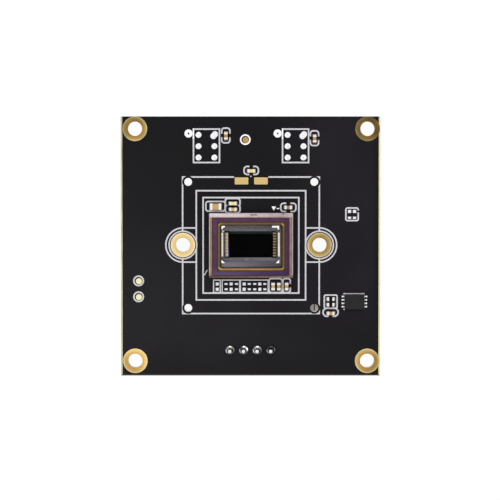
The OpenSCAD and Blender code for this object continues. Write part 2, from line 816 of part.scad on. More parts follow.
// The two end caps, which wrap five faces of the ceramic
module chip_ends(l, w, t, wrap = cap_wrap) {
  difference() {
    both_ends() translate([l / 2 - wrap / 2, 0, copper_t]) slab(wrap, w, t);
    chip_body(l, w, t);
  }
}

// Copper lands under both ends, out to the end of the fillets
module chip_land(l, w, wrap = cap_wrap, reach = fillet_reach) {
  both_ends() translate([(l - wrap + reach) / 2, 0, 0]) slab(wrap + reach, w, copper_t);
}

// Concave solder fillets that climb the end caps
module chip_fillet(l, w, t, reach = fillet_reach) {
  both_ends() translate([l / 2, 0, copper_t])
    rotate([90, 0, 0]) linear_extrude(w, center = true) fillet_section(reach, min(t * 0.7, 0.45));
}

// Section of a fillet from its toe up to the end cap, hollowed by an arc
module fillet_section(reach, rise) {
  toe = 0.02;
  span = norm([reach, rise - toe]);
  sag = span * 0.18;
  arc_r = (span * span / 4 + sag * sag) / (2 * sag);
  outwards = [rise - toe, reach] / span;
  difference() {
    polygon([[0, 0], [reach, 0], [reach, toe], [0, rise]]);
    translate([reach / 2, (rise + toe) / 2] + outwards * (arc_r - sag + 0.003))
      circle(arc_r, $fn = round_fn);
  }
}

module capacitor_bodies() {
  color([0.8, 0.56, 0.3]) at_each(front_capacitors) chip_body(chip_l, chip_w, chip_t);
}

module capacitor_ends() {
  color(tin) at_each(front_capacitors) chip_ends(chip_l, chip_w, chip_t);
}

module bulk_capacitor_body() {
  color([0.7, 0.56, 0.38]) at_each([bulk_capacitor]) chip_body(bulk_l, bulk_w, bulk_t);
}

module bulk_capacitor_ends() {
  color(tin) at_each([bulk_capacitor]) chip_ends(bulk_l, bulk_w, bulk_t, bulk_wrap);
}

module resistor_bodies() {
  color(mould_black) at_each(front_resistors) chip_body(chip_l, chip_w, resistor_t);
}

module resistor_ends() {
  color(tin) at_each(front_resistors) chip_ends(chip_l, chip_w, resistor_t);
}

module chip_lands() {
  color(tin) {
    at_each(concat(front_capacitors, front_resistors)) chip_land(chip_l, chip_w);
    at_each([bulk_capacitor]) chip_land(bulk_l, bulk_w, bulk_wrap, bulk_reach);
  }
}

module chip_solder() {
  color(tin) {
    at_each(front_capacitors) chip_fillet(chip_l, chip_w, chip_t);
    at_each(front_resistors) chip_fillet(chip_l, chip_w, resistor_t);
    at_each([bulk_capacitor]) chip_fillet(bulk_l, bulk_w, bulk_t, bulk_reach);
  }
}

// ---------------------------------------------------------------- memory chip

terminal_t = 0.15;
terminal_w = 0.22;
terminal_l = 0.4;
memory_rows = 4;

module at_memory_terminals() {
  for (side = [-1, 1], i = [0 : memory_rows - 1])
    translate([memory_x, memory_y + (i - (memory_rows - 1) / 2) * memory_pitch, 0])
      rotate(side > 0 ? 0 : 180) translate([memory_w / 2, 0, copper_t]) children();
}

module memory_chip() {
  dimple_d = 0.35;
  color(mould_black)
  difference() {
    translate([memory_x, memory_y, copper_t]) slab(memory_w, memory_h, memory_t);
    at_memory_terminals() translate([-terminal_l, -terminal_w / 2, -past])
      cube([terminal_l + past, terminal_w, terminal_t + past]);
    translate([memory_x - memory_w / 2 + 0.45, memory_y + memory_h / 2 - 0.42, copper_t + memory_t - 0.04])
      cylinder(d = dimple_d, h = past, $fn = small_fn);
  }
}

// Terminals under the edges, each with its land and a bead of solder outside the body
module memory_terminals() {
  bead_reach = 0.4;
  color(tin)
  at_memory_terminals() {
    translate([-terminal_l, -terminal_w / 2, 0]) cube([terminal_l, terminal_w, terminal_t]);
    translate([-terminal_l, -terminal_w / 2, -copper_t])
      cube([terminal_l + bead_reach, terminal_w, copper_t]);
    rotate([90, 0, 0]) linear_extrude(terminal_w, center = true)
    difference() {
      polygon([[0, 0], [bead_reach, 0], [bead_reach, 0.05], [0.2, 0.12], [0, terminal_t]]);
      translate([bead_reach, 0.32]) circle(0.2, $fn = small_fn);
    }
  }
}

// ---------------------------------------------------------------- header

pin_bore_d = 1.04;
pin_ring_d = 1.5;

// How far the bores lie off the pins, which lean against one side of them
bore_shift = [0.05, 0.14];

housing_foot = 0.2;
pin_row = [for (i = [0 : pin_count - 1]) (i - (pin_count - 1) / 2) * pin_pitch];
post_clear = 1.2;

module at_pins() {
  for (x = pin_row) translate([header_x + x, header_y, 0]) children();
}

module at_pin_bores() {
  translate(bore_shift) at_pins() children();
}

// Shrouded housing on the rear face, open away from the board, with a keyed front wall
module header_housing() {
  key_w = 1;
  key_deep = 3.2;
  color(nylon_white)
  on_rear() translate([header_x, header_y - housing_row_front, 0])
  difference() {
    translate([-housing_w / 2, 0, 0]) cube([housing_w, housing_d, housing_t]);
    // Plug cavity
    translate([housing_wall - housing_w / 2, housing_wall, housing_floor + housing_foot])
      cube([housing_w - 2 * housing_wall, housing_d - 2 * housing_wall, housing_t]);
    // Keyways in the front wall
    for (s = [-1, 1])
      translate([s * (housing_w - key_w - 1) / 2 - s * housing_wall, housing_wall / 2, housing_t - key_deep])
        slab(key_w, housing_wall + 2 * past, key_deep + past);
    // Latch window in the rear wall
    translate([-housing_w / 4, housing_d - housing_wall - past, housing_t - 1.6])
      cube([housing_w / 2, housing_wall + 2 * past, 1.6 + past]);
    // End slots
    for (s = [-1, 1])
      translate([s * housing_w / 2 - housing_wall - past, housing_d / 2 - 0.4, housing_t - 1.2])
        cube([2 * (housing_wall + past), 0.8, 1.2 + past]);
    // Relief over the plated holes and the pin bores
    translate([0.7 - housing_w / 2, 0.6, -past])
      cube([housing_w - 1.4, housing_d - 1.2, housing_foot + past]);
    for (x = pin_row) translate([x, housing_row_front, 0]) slab(pin_side, pin_side, housing_t);
  }
}

// Square pins with pointed ends, driven through the housing floor and the board
module header_pins() {
  point = 0.25;
  low = -board_t - housing_t + post_clear;
  color(tin)
  at_pins() intersection() {
    translate([0, 0, low]) slab(pin_side, pin_side, pin_proud - low);
    union() {
      translate([0, 0, low + point])
        cylinder(d = 2 * pin_side, h = pin_proud - low - 2 * point, $fn = small_fn);
      translate([0, 0, pin_proud - point])
        cylinder(d1 = 2 * pin_side, d2 = pin_side * 0.5, h = point, $fn = small_fn);
      translate([0, 0, low]) cylinder(d1 = pin_side * 0.5, d2 = 2 * pin_side, h = point, $fn = small_fn);
    }
  }
}

module header_eyelets() {
  color(tin) at_pin_bores() eyelet(pin_bore_d, pin_ring_d);
}

// Solder that fills each hole round its pin and climbs the pin in a concave cone
module header_solder() {
  joint_h = 0.62;
  rim_h = 0.12;
  color(tin)
  at_pin_bores() difference() {
    union() {
      translate([0, 0, -board_t]) cylinder(d = pin_bore_d, h = board_t + copper_t, $fn = round_fn);
      translate([0, 0, copper_t]) rotate_extrude($fn = round_fn) difference() {
        square([pin_ring_d / 2, joint_h]);
        translate([pin_ring_d / 2, joint_h]) circle(joint_h - rim_h, $fn = round_fn);
        translate([pin_ring_d / 2 - 0.08, rim_h - 0.04]) square([1, 1]);
      }
    }
    translate([-bore_shift[0], -bore_shift[1], -board_t - past])
      slab(pin_side, pin_side, board_t + 3 * past);
  }
}

// ---------------------------------------------------------------- rear chips

module at_controller_terminals() {
  for (turn = [0 : 90 : 270], i = [0 : controller_rows - 1])
    translate(controller_at) rotate(turn)
      translate([controller_side / 2, (i - (controller_rows - 1) / 2) * controller_pitch, 0]) children();
}

module controller_chip() {
  color(mould_black)
  on_rear() difference() {
    translate([controller_at[0], controller_at[1], copper_t])
      slab(controller_side, controller_side, controller_t);
    at_controller_terminals() translate([-terminal_l, -terminal_w / 2, -past])
      cube([terminal_l + past, terminal_w, copper_t + terminal_t + past]);
    translate([controller_at[0] - controller_side / 2 + 1, controller_at[1] - controller_side / 2 + 1,
      copper_t + controller_t - 0.05]) cylinder(d = 0.8, h = past, $fn = round_fn);
  }
}

module controller_terminals() {
  color(tin)
  on_rear() at_controller_terminals() translate([-terminal_l, -terminal_w / 2, copper_t])
    cube([terminal_l, terminal_w, terminal_t]);
}

// Lands of the terminals, with a wedge of solder against each
module controller_solder() {
  color(tin)
  on_rear() at_controller_terminals() {
    translate([-terminal_l, -terminal_w / 2, 0]) cube([terminal_l + controller_toe, terminal_w, copper_t]);
    translate([0, 0, copper_t]) rotate([90, 0, 0]) linear_extrude(terminal_w, center = true)
      polygon([[0, 0], [controller_toe, 0], [controller_toe, 0.02], [0, terminal_t]]);
  }
}

// Moulded body with drafted sides, standing clear of the board
module moulded_body(l, w, low, high) {
  draft = 0.12;
  waist = (low + high) / 2;
  module section(span) polygon([
    [-span / 2 + draft, low], [span / 2 - draft, low], [span / 2, waist - 0.1], [span / 2, waist + 0.1],
    [span / 2 - draft, high], [draft - span / 2, high], [-span / 2, waist + 0.1], [-span / 2, waist - 0.1]
  ]);
  intersection() {
    rotate([90, 0, 0]) linear_extrude(w, center = true) section(l);
    rotate([90, 0, 90]) linear_extrude(l, center = true) section(w);
  }
}

// A gull-wing lead that leaves the body at x = 0 and reaches out to its foot on a soldered land
module gull_lead(reach, rise, wide) {
  t = 0.16;
  foot = reach * 0.5;
  heel = 0.1;
  rotate([90, 0, 0]) linear_extrude(wide, center = true)
    polygon([
      [0, rise + t / 2], [reach - foot, rise + t / 2], [reach - foot + t, rise - t / 2],
      [reach - foot + t * 1.3, t], [reach, t], [reach + lead_toe, 0], [reach - foot, 0],
      [reach - foot - t * 0.2, rise - t / 2], [0, rise - t / 2]
    ]);
  translate([reach - foot - heel, -wide / 2, -copper_t]) cube([foot + heel + lead_toe, wide, copper_t]);
}

flash_l = 4.9;
flash_pitch = 1.27;
flash_low = 0.15;

module flash_chip() {
  color(mould_black)
  on_rear() translate([flash_at[0], flash_at[1], 0]) difference() {
    moulded_body(flash_l, flash_w, flash_low, flash_t);
    translate([0.6 - flash_l / 2, 0.6 - flash_w / 2, flash_t - 0.08])
      cylinder(d = 0.6, h = past, $fn = small_fn);
  }
}

module flash_leads() {
  color(tin)
  on_rear() for (turn = [90, -90], i = [0 : 3])
    translate([flash_at[0] + (i - 1.5) * flash_pitch, flash_at[1], copper_t]) rotate(turn)
      translate([flash_w / 2, 0, 0]) gull_lead(flash_reach, (flash_low + flash_t) / 2 - copper_t, 0.42);
}

crystal_l = 3.2;
crystal_w = 2.5;
crystal_lid_t = 0.12;

module at_crystal_corners() {
  for (x = [-1, 1], y = [-1, 1])
    translate([crystal_at[0] + x * crystal_l / 2, crystal_at[1] + y * crystal_w / 2, 0])
      scale([x, y, 1]) children();
}

module crystal_base() {
  color([0.62, 0.58, 0.5])
  on_rear() difference() {
    translate([crystal_at[0], crystal_at[1], copper_t])
      slab(crystal_l, crystal_w, crystal_t - crystal_lid_t);
    at_crystal_corners() cylinder(r = 0.2, h = crystal_t * 3, center = true, $fn = small_fn);
  }
}

module crystal_lid() {
  color([0.78, 0.78, 0.76])
  on_rear() translate([crystal_at[0], crystal_at[1], copper_t + crystal_t - crystal_lid_t])
  difference() {
    slab(crystal_l - 0.5, crystal_w - 0.5, crystal_lid_t);
    difference() {
      translate([0, 0, crystal_lid_t - 0.03]) slab(crystal_l, crystal_w, past);
      translate([0, 0, crystal_lid_t - 0.03 - past / 2]) slab(crystal_l - 0.8, crystal_w - 0.8, 3 * past);
    }
  }
}

module crystal_lands() {
  color(tin)
  on_rear() at_crystal_corners() translate([-1.1, -0.95, 0]) cube([1.25, 1.1, copper_t]);
}

// ---------------------------------------------------------------- power inductors

flange_t = inductor_t * 0.22;
inductor_post_d = inductor_d * 0.45;
inductor_foot = 0.16;
inductor_flat = 0.2;
coil_wire_d = 0.24;
coil_d = inductor_d * 0.88;

// Ferrite drum: two flanges on a post, the lower one cut flat where the terminals wrap it
module inductor_cores() {
  color([0.22, 0.22, 0.23])
  on_rear() at_each(inductor_at) difference() {
    union() {
      translate([0, 0, inductor_foot]) cylinder(d = inductor_d, h = flange_t, $fn = round_fn);
      translate([0, 0, inductor_foot])
        cylinder(d = inductor_post_d, h = inductor_t - inductor_foot, $fn = round_fn);
      translate([0, 0, inductor_t - flange_t]) cylinder(d = inductor_d, h = flange_t, $fn = round_fn);
    }
    both_ends() translate([inductor_d / 2 - inductor_flat, -inductor_d, -past])
      cube([inductor_d, 2 * inductor_d, past + inductor_foot + flange_t]);
  }
}

// Layers of wire between the flanges, closed down to the post and between the outer turns
module inductor_coils() {
  room = inductor_t - inductor_foot - 2 * flange_t;
  turns = floor(room / coil_wire_d);
  pitch = room / turns;
  color([0.72, 0.4, 0.2])
  on_rear() at_each(inductor_at) translate([0, 0, inductor_foot + flange_t])
  rotate_extrude($fn = round_fn) {
    translate([inductor_post_d / 2, 0]) square([(coil_d - inductor_post_d) / 2 - pitch * 0.3, room]);
    for (i = [0 : turns - 1])
      translate([coil_d / 2 - pitch / 2, (i + 0.5) * pitch]) circle(d = pitch, $fn = small_fn);
  }
}

// Tinned plates under the lower flange, each turned up against its flat; one has a wire slot
module inductor_terminals() {
  plate_l = 1.35;
  plate_w = 2.6;
  plate_t = 0.12;
  slot_w = 0.16;
  color(tin)
  on_rear() at_each(inductor_at) difference() {
    both_ends() {
      translate([inductor_d / 2 - inductor_flat - plate_l, -plate_w / 2, 0])
        cube([plate_l, plate_w, inductor_foot]);
      translate([inductor_d / 2 - inductor_flat, -plate_w / 2, 0])
        cube([plate_t, plate_w, inductor_foot + flange_t * 0.8]);
    }
    both_ends() translate([inductor_d / 2 - 1, -0.3, -past])
      cube([slot_w, plate_w, inductor_foot + 2 * past]);
  }
}

// ---------------------------------------------------------------- voltage regulators

regulator_l = 2.9;
regulator_w = 1.6;
regulator_low = 0.1;
regulator_reach = 0.62;

module regulator_bodies() {
  color(mould_black)
  on_rear() at_each(regulator_at) difference() {
    moulded_body(regulator_l, regulator_w, regulator_low, regulator_t);
    translate([0.5 - regulator_l / 2, 0.4 - regulator_w / 2, regulator_t - 0.05])
      cylinder(d = 0.3, h = past, $fn = small_fn);
  }
}

// Three leads on one side and two on the other
module regulator_leads() {
  color(tin)
  on_rear() at_each(regulator_at)
    for (lead = [[90, -0.95], [90, 0.95], [-90, -0.95], [-90, 0], [-90, 0.95]])
      translate([lead[1], 0, copper_t]) rotate(lead[0]) translate([regulator_w / 2, 0, 0])
        gull_lead(regulator_reach, (regulator_low + regulator_t) / 2 - copper_t, 0.38);
}

// ---------------------------------------------------------------- rear chip parts

module rear_capacitor_bodies() {
  color([0.74, 0.58, 0.4]) on_rear() at_each(rear_capacitors) chip_body(chip_l, chip_w, chip_t);
}

module rear_capacitor_ends() {
  color(tin) on_rear() at_each(rear_capacitors) chip_ends(chip_l, chip_w, chip_t);
}

module rear_bulk_bodies() {
  color([0.7, 0.54, 0.36]) on_rear() at_each(rear_bulk_capacitors) chip_body(bulk_l, bulk_w, bulk_t);
}

module rear_bulk_ends() {
  color(tin) on_rear() at_each(rear_bulk_capacitors) chip_ends(bulk_l, bulk_w, bulk_t, bulk_wrap);
}

module rear_resistor_bodies() {
  color(mould_black) on_rear() at_each(rear_resistors) chip_body(chip_l, chip_w, resistor_t);
}

module rear_resistor_ends() {
  color(tin) on_rear() at_each(rear_resistors) chip_ends(chip_l, chip_w, resistor_t);
}

module rear_chip_lands() {
  color(tin) on_rear() {
    at_each(concat(rear_capacitors, rear_resistors)) chip_land(chip_l, chip_w);
    at_each(rear_bulk_capacitors) chip_land(bulk_l, bulk_w, bulk_wrap, bulk_reach);
  }
}

module rear_chip_solder() {
  color(tin) on_rear() {
    at_each(rear_capacitors) chip_fillet(chip_l, chip_w, chip_t);
    at_each(rear_resistors) chip_fillet(chip_l, chip_w, resistor_t);
    at_each(rear_bulk_capacitors) chip_fillet(bulk_l, bulk_w, bulk_t, bulk_reach);
  }
}

// ---------------------------------------------------------------- nodes

circuit_board();
corner_eyelets();
lens_eyelets();
front_legend();
rear_legend();
contact_pads();
test_pads();
microphone_pads();
spare_pads();
sensor_package();
sensor_lands();
sensor_seal();
seal_ring();
cover_glass();
die_adhesive();
sensor_die();
pixel_array();
die_bond_pads();
bond_fingers();
bond_wires();
shelf_marks();
capacitor_bodies();
capacitor_ends();
bulk_capacitor_body();
bulk_capacitor_ends();
resistor_bodies();
resistor_ends();
chip_lands();
chip_solder();
memory_chip();
memory_terminals();
header_housing();
header_pins();
header_eyelets();
header_solder();
controller_chip();
controller_terminals();
controller_solder();
flash_chip();
flash_leads();
crystal_base();
crystal_lid();
crystal_lands();
inductor_cores();
inductor_coils();
inductor_terminals();
regulator_bodies();
regulator_leads();
rear_capacitor_bodies();
rear_capacitor_ends();
rear_bulk_bodies();
rear_bulk_ends();
rear_resistor_bodies();
rear_resistor_ends();
rear_chip_lands();
rear_chip_solder();
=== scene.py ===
import math

import bmesh
import bpy
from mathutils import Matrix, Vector


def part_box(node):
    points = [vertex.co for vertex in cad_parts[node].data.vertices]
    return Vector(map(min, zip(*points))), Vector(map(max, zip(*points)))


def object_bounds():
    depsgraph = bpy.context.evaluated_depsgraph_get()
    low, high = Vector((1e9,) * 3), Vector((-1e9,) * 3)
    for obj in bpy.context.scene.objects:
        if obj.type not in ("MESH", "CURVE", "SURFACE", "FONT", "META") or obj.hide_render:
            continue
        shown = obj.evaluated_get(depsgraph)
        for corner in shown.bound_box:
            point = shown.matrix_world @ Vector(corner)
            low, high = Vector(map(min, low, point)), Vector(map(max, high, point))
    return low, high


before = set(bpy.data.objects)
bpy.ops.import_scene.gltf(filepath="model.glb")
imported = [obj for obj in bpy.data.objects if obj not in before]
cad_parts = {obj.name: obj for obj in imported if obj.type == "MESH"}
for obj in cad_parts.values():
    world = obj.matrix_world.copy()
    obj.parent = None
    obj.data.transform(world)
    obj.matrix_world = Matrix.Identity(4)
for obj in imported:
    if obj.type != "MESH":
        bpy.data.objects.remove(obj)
cad_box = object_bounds()


# ---- Circuit board
# A square of glass-epoxy laminate under a black satin solder mask. Panels are scored from both
# faces and snapped, which leaves a bevel of bare yellow laminate along the snapped edges.

mm = 0.001


def new_finish(name, **plain):
    """A material with one Principled shader. Values that don't vary are set on its own sockets."""
    material = bpy.data.materials.new(name)
    material.use_nodes = True
    shader = material.node_tree.nodes["Principled BSDF"]
    for socket, value in plain.items():
        shader.inputs[socket.replace("_", " ")].default_value = value
    return material, material.node_tree, shader


def feed(tree, socket, value):
    """Links an input from another socket, or sets it to a value."""
    if isinstance(value, bpy.types.NodeSocket):
        tree.links.new(value, socket)
    else:
        socket.default_value = value


def supply(tree, socket, value):
    """Links something that varies over the surface to the tree's Principled shader."""
    tree.links.new(value, tree.nodes["Principled BSDF"].inputs[socket])


def put(tree, kind, inputs=(), **settings):
    """Adds a node. An input is given as a value, or as a socket to link from."""
    node = tree.nodes.new(kind)
    for name, value in settings.items():
        setattr(node, name, value)
    for key, value in dict(inputs).items():
        feed(tree, node.inputs[key], value)
    return node


def new_group(name, takes, gives):
    """An empty shader node group with named sockets, and its inner input and output nodes."""
    group = bpy.data.node_groups.new(name, "ShaderNodeTree")
    for label, kind, value in takes:
        socket = group.interface.new_socket(
            name=label, in_out="INPUT", socket_type="NodeSocket" + kind
        )
        socket.default_value = value
    for label, kind in gives:
        group.interface.new_socket(name=label, in_out="OUTPUT", socket_type="NodeSocket" + kind)
    inner = group.nodes.new("NodeGroupInput").outputs
    return group, inner, group.nodes.new("NodeGroupOutput").inputs


def use(tree, group, **inputs):
    """Places a node group in a tree and returns its outputs."""
    node = tree.nodes.new("ShaderNodeGroup")
    node.node_tree = group
    for label, value in inputs.items():
        feed(tree, node.inputs[label], value)
    return node.outputs


def number(tree, operation, a, b=0.0):
    """Arithmetic on one or two values."""
    return put(tree, "ShaderNodeMath", {0: a, 1: b}, operation=operation).outputs[0]


def times(tree, *shares):
    """The product of two or more values."""
    product = shares[0]
    for share in shares[1:]:
        product = number(tree, "MULTIPLY", product, share)
    return product


def vector(tree, operation, a, b=(0, 0, 0)):
    """Vector arithmetic. A length, a distance or a dot product comes out as a number."""
    node = put(tree, "ShaderNodeVectorMath", {0: a, 1: b}, operation=operation)
    measures = operation in ("LENGTH", "DISTANCE", "DOT_PRODUCT")
    return node.outputs["Value" if measures else "Vector"]


def point(tree):
    """The place of the shaded point, in the frame of the whole part."""
    return tree.nodes.new("ShaderNodeTexCoord").outputs["Object"]


def parts(tree, joined):
    """The x, y and z of a vector."""
    return put(tree, "ShaderNodeSeparateXYZ", {0: joined}).outputs


def outward(tree):
    """The x, y and z of the way the surface faces."""
    return parts(tree, tree.nodes.new("ShaderNodeTexCoord").outputs["Normal"])


def ramp(tree, value, low, high, to_low=0.0, to_high=1.0):
    """A value carried smoothly from one range to another and held at its ends."""
    return put(
        tree, "ShaderNodeMapRange", {0: value, 1: low, 2: high, 3: to_low, 4: to_high},
        interpolation_type="SMOOTHSTEP",
    ).outputs[0]


def band(tree, value, low, full_low, full_high, high):
    """1 between the two inner limits, falling smoothly to 0 at the outer ones."""
    return times(tree, ramp(tree, value, low, full_low), ramp(tree, value, high, full_high))


def noise(tree, place, scale, detail):
    """A value that wanders about one half from place to place."""
    wanted = {"Vector": place, "Scale": scale, "Detail": detail}
    return put(tree, "ShaderNodeTexNoise", wanted).outputs[0]


def blend(tree, share, a, b, how="MIX"):
    """A colour that goes from a to b with the share. A fixed colour has three parts."""
    mix = put(tree, "ShaderNodeMix", {0: share}, data_type="RGBA", blend_type=how)
    for socket, colour in ((mix.inputs[6], a), (mix.inputs[7], b)):
        varies = isinstance(colour, bpy.types.NodeSocket)
        feed(tree, socket, colour if varies else (*colour, 1))
    return mix.outputs[2]


# Colour that wanders between two tones in patches, with a gloss that wanders with it and a grain
uneven, takes, gives = new_group(
    "uneven_coat",
    [
        ("Light", "Color", (0.5, 0.5, 0.5, 1)),
        ("Dark", "Color", (0.4, 0.4, 0.4, 1)),
        ("Patch", "Float", 1 * mm),
        ("Grain", "Float", 0.1 * mm),
        ("Glossy", "Float", 0.3),
        ("Dull", "Float", 0.5),
    ],
    [("Color", "Color"), ("Roughness", "Float"), ("Height", "Float")],
)
place = point(uneven)
patches = noise(uneven, place, number(uneven, "DIVIDE", 1.0, takes["Patch"]), 3.0)
grains = noise(uneven, place, number(uneven, "DIVIDE", 1.0, takes["Grain"]), 2.0)
both = number(uneven, "ADD", times(uneven, grains, 0.35), times(uneven, patches, 0.65))
spread = ramp(uneven, both, 0.33, 0.67)
shine = put(uneven, "ShaderNodeMapRange", {0: spread, 3: takes["Dull"], 4: takes["Glossy"]})
feed(uneven, gives["Color"], blend(uneven, spread, takes["Dark"], takes["Light"]))
feed(uneven, gives["Roughness"], shine.outputs[0])
feed(uneven, gives["Height"], grains)

# A sharp modelled edge shaded as the small radius it really has, with relief from a height
softened, takes, gives = new_group(
    "softened_edge",
    [("Radius", "Float", 0.03 * mm), ("Height", "Float", 0.5), ("Depth", "Float", 0.01 * mm)],
    [("Normal", "Vector")],
)
rounding = put(softened, "ShaderNodeBevel", {"Radius": takes["Radius"]}, samples=4).outputs[0]
relief = put(
    softened, "ShaderNodeBump",
    {"Distance": takes["Depth"], "Height": takes["Height"], "Normal": rounding},
)
feed(softened, gives["Normal"], relief.outputs[0])


def coated(name, light, dark, patch, grain, glossy, dull, depth, edge=0.0, **plain):
    """A finish of uneven coat over softened edges. Sizes are in millimetres."""
    material, tree, _ = new_finish(name, **plain)
    coat = use(
        tree, uneven, Light=(*light, 1), Dark=(*dark, 1), Patch=patch * mm, Grain=grain * mm,
        Glossy=glossy, Dull=dull,
    )
    supply(tree, "Base Color", coat["Color"])
    supply(tree, "Roughness", coat["Roughness"])
    if edge:
        rim = use(tree, softened, Radius=edge * mm, Height=coat["Height"], Depth=depth * mm)
        supply(tree, "Normal", rim["Normal"])
    else:
        relief = put(tree, "ShaderNodeBump", {"Distance": depth * mm, "Height": coat["Height"]})
        supply(tree, "Normal", relief.outputs[0])
    return material, tree, coat


def dress(material, *names):
    """Gives a finish to modelled nodes."""
    for name in names:
        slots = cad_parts[name].data.materials
        slots.clear()
        slots.append(material)


mask, tree, coat = coated(
    "satin_black_mask_on_laminate", (0.0050, 0.0040, 0.0056), (0.0026, 0.0022, 0.0030),
    patch=9, grain=0.25, glossy=0.36, dull=0.44, depth=0.005, Specular_IOR_Level=0.26,
)
place = point(tree)
across, up, _ = parts(tree, place)
# Painted light makes the mask lighter towards the header's left
towards_header = number(tree, "ADD", up, times(tree, across, 0.7))
mask_painted_light = times(
    tree, ramp(tree, towards_header, 6 * mm, -24 * mm),
    ramp(tree, up, -19 * mm, -13 * mm, 0.3, 0.85),
)
masked = blend(tree, mask_painted_light, coat["Color"], (0.0115, 0.0102, 0.0126))
# Towards the right it looks faintly violet
violet = times(
    tree, band(tree, across, 3 * mm, 12 * mm, 17.4 * mm, 18.6 * mm),
    ramp(tree, up, -14 * mm, -9 * mm, 0.0, 0.9),
)
masked = blend(tree, violet, masked, (0.0088, 0.0073, 0.0108))
# Walls and bevels are bare plies of glass fibre; painted light makes them palest along the right
# edge
_, faces_up, faces_out = outward(tree)
bare = ramp(tree, number(tree, "ABSOLUTE", faces_out), 0.85, 0.7)
plies = put(tree, "ShaderNodeMapping", {"Vector": place, "Scale": (400, 400, 9000)}).outputs[0]
weave = ramp(tree, noise(tree, plies, 1.0, 4.0), 0.3, 0.7)
fibres = blend(tree, weave, (0.38, 0.33, 0.15), (0.70, 0.65, 0.38))
fibres = blend(tree, ramp(tree, across, 0, 19 * mm, 0.0, 0.7), fibres, (0.98, 0.87, 0.44))
# Faces towards the lower edge are darkened with painted shade
fibres = blend(tree, ramp(tree, faces_up, -0.2, -0.5), fibres, (0.030, 0.022, 0.011))
# The drilled locating holes at the corners of a square have chalky walls
peg_half = 9.23 * mm
drill_reach = 0.7 * mm
off_peg = vector(tree, "SUBTRACT", vector(tree, "ABSOLUTE", place), (peg_half, peg_half, 0))
from_peg = vector(tree, "LENGTH", vector(tree, "MULTIPLY", off_peg, (1, 1, 0)))
drilled = number(tree, "LESS_THAN", from_peg, drill_reach)
fibres = blend(tree, drilled, fibres, (0.92, 0.90, 0.86))
rough = put(tree, "ShaderNodeMix", {0: bare, 2: coat["Roughness"], 3: 0.75}, data_type="FLOAT")
supply(tree, "Base Color", blend(tree, bare, masked, fibres))
supply(tree, "Roughness", rough.outputs[0])
dress(mask, "circuit_board")


# ---- Plated holes
# Immersion gold over copper: four corner holes for the board's screws, and two for the lens
# holder's. The satin metal has a painted highlight on its rim and painted shade by the bore.

hole_bore = 2.1 * mm
land_width = 3.6 * mm

# How near a point is to the rim and to the bore of one of the rings centred at plus or minus
# Centre, and whether it is on the side that faces away from the board's middle
ring_zones, takes, gives = new_group(
    "ring_zones",
    [("Centre", "Vector", (0, 0, 0)), ("Bore", "Float", 1 * mm), ("Rim", "Float", 1.8 * mm)],
    [("Rim", "Float"), ("Bore", "Float"), ("Outward", "Float")],
)
folded = vector(ring_zones, "ABSOLUTE", point(ring_zones))
away = vector(ring_zones, "SUBTRACT", folded, takes["Centre"])
radius = vector(ring_zones, "LENGTH", vector(ring_zones, "MULTIPLY", away, (1, 1, 0)))
inwards = number(ring_zones, "SUBTRACT", takes["Rim"], radius)
outwards = number(ring_zones, "SUBTRACT", radius, takes["Bore"])
reach = vector(ring_zones, "DOT_PRODUCT", away, (1, 1, 0))
# Rim and Bore set where the painted highlight and the painted shade fall
feed(ring_zones, gives["Rim"], ramp(ring_zones, inwards, 0.3 * mm, 0.05 * mm))
feed(ring_zones, gives["Bore"], ramp(ring_zones, outwards, 0.42 * mm, 0.1 * mm))
feed(ring_zones, gives["Outward"], ramp(ring_zones, reach, -1.4 * mm, 1.6 * mm))


def gilt_ring(name, centre, painted_light_reach, pale, handled, bore_shade_share):
    """Gold for the rings centred at plus or minus centre. Places are in millimetres."""
    material, tree, coat = coated(
        name, (0.98, 0.66, 0.20), (0.66, 0.38, 0.08), patch=1.6, grain=0.12,
        glossy=0.36, dull=0.5, depth=0.006,
    )
    middle = [along * mm for along in centre]
    ring = use(tree, ring_zones, Centre=middle, Bore=hole_bore / 2, Rim=land_width / 2)
    # A painted highlight along the rim, and painted shade by the bore
    bright = blend(tree, ring["Rim"], coat["Color"], (1.0, 0.88, 0.52))
    shade = blend(tree, times(tree, ring["Bore"], 0.65), bright, (0.50, 0.32, 0.10))
    # Painted light makes the plating pale and less metallic on the left and by the header, and
    # painted shade darkens it at the far right
    across, up, _ = parts(tree, point(tree))
    lean = number(tree, "ADD", times(tree, across, 0.6), up)
    dull = ramp(tree, lean, 12 * mm, 30 * mm, 0.0, 0.85)
    painted_light_share = ramp(tree, lean, painted_light_reach[0] * mm, painted_light_reach[1] * mm)
    ring_shaded = blend(tree, dull, shade, (0.22, 0.155, 0.05))
    painted_lit = blend(tree, times(tree, painted_light_share, 0.6), ring_shaded, pale)
    # Screws and fingers reach the side of a ring that faces away from the middle
    away_side = times(tree, ring["Outward"], handled)
    used = blend(tree, away_side, painted_lit, (0.20, 0.12, 0.025))
    # Over the painted light go painted shade by the bore and a painted highlight along the rim
    by_bore = blend(tree, times(tree, ring["Bore"], bore_shade_share), used, (0.50, 0.25, 0.045))
    glint = number(tree, "SUBTRACT", 0.3, times(tree, dull, 0.3))
    by_rim = blend(tree, times(tree, ring["Rim"], glint), by_bore, (1.0, 0.80, 0.34))
    supply(tree, "Base Color", by_rim)
    supply(tree, "Metallic", number(tree, "SUBTRACT", 1.0, times(tree, painted_light_share, 0.7)))
    return material


corner_gold = gilt_ring(
    "corner_hole_gold", centre=(17, 17, 0), painted_light_reach=(8, -26), pale=(1.0, 0.69, 0.22),
    handled=0.45, bore_shade_share=0.3,
)
dress(corner_gold, "corner_eyelets")
lens_gold = gilt_ring(
    "lens_hole_gold", centre=(10, 0, 0), painted_light_reach=(9, -5), pale=(1.0, 0.80, 0.44),
    handled=0.0, bore_shade_share=0.12,
)
dress(lens_gold, "lens_eyelets")


# ---- Bare contacts and test points
# Gold-plated copper left free of mask: two contacts for the lens holder's filter switch and
# three round test points.

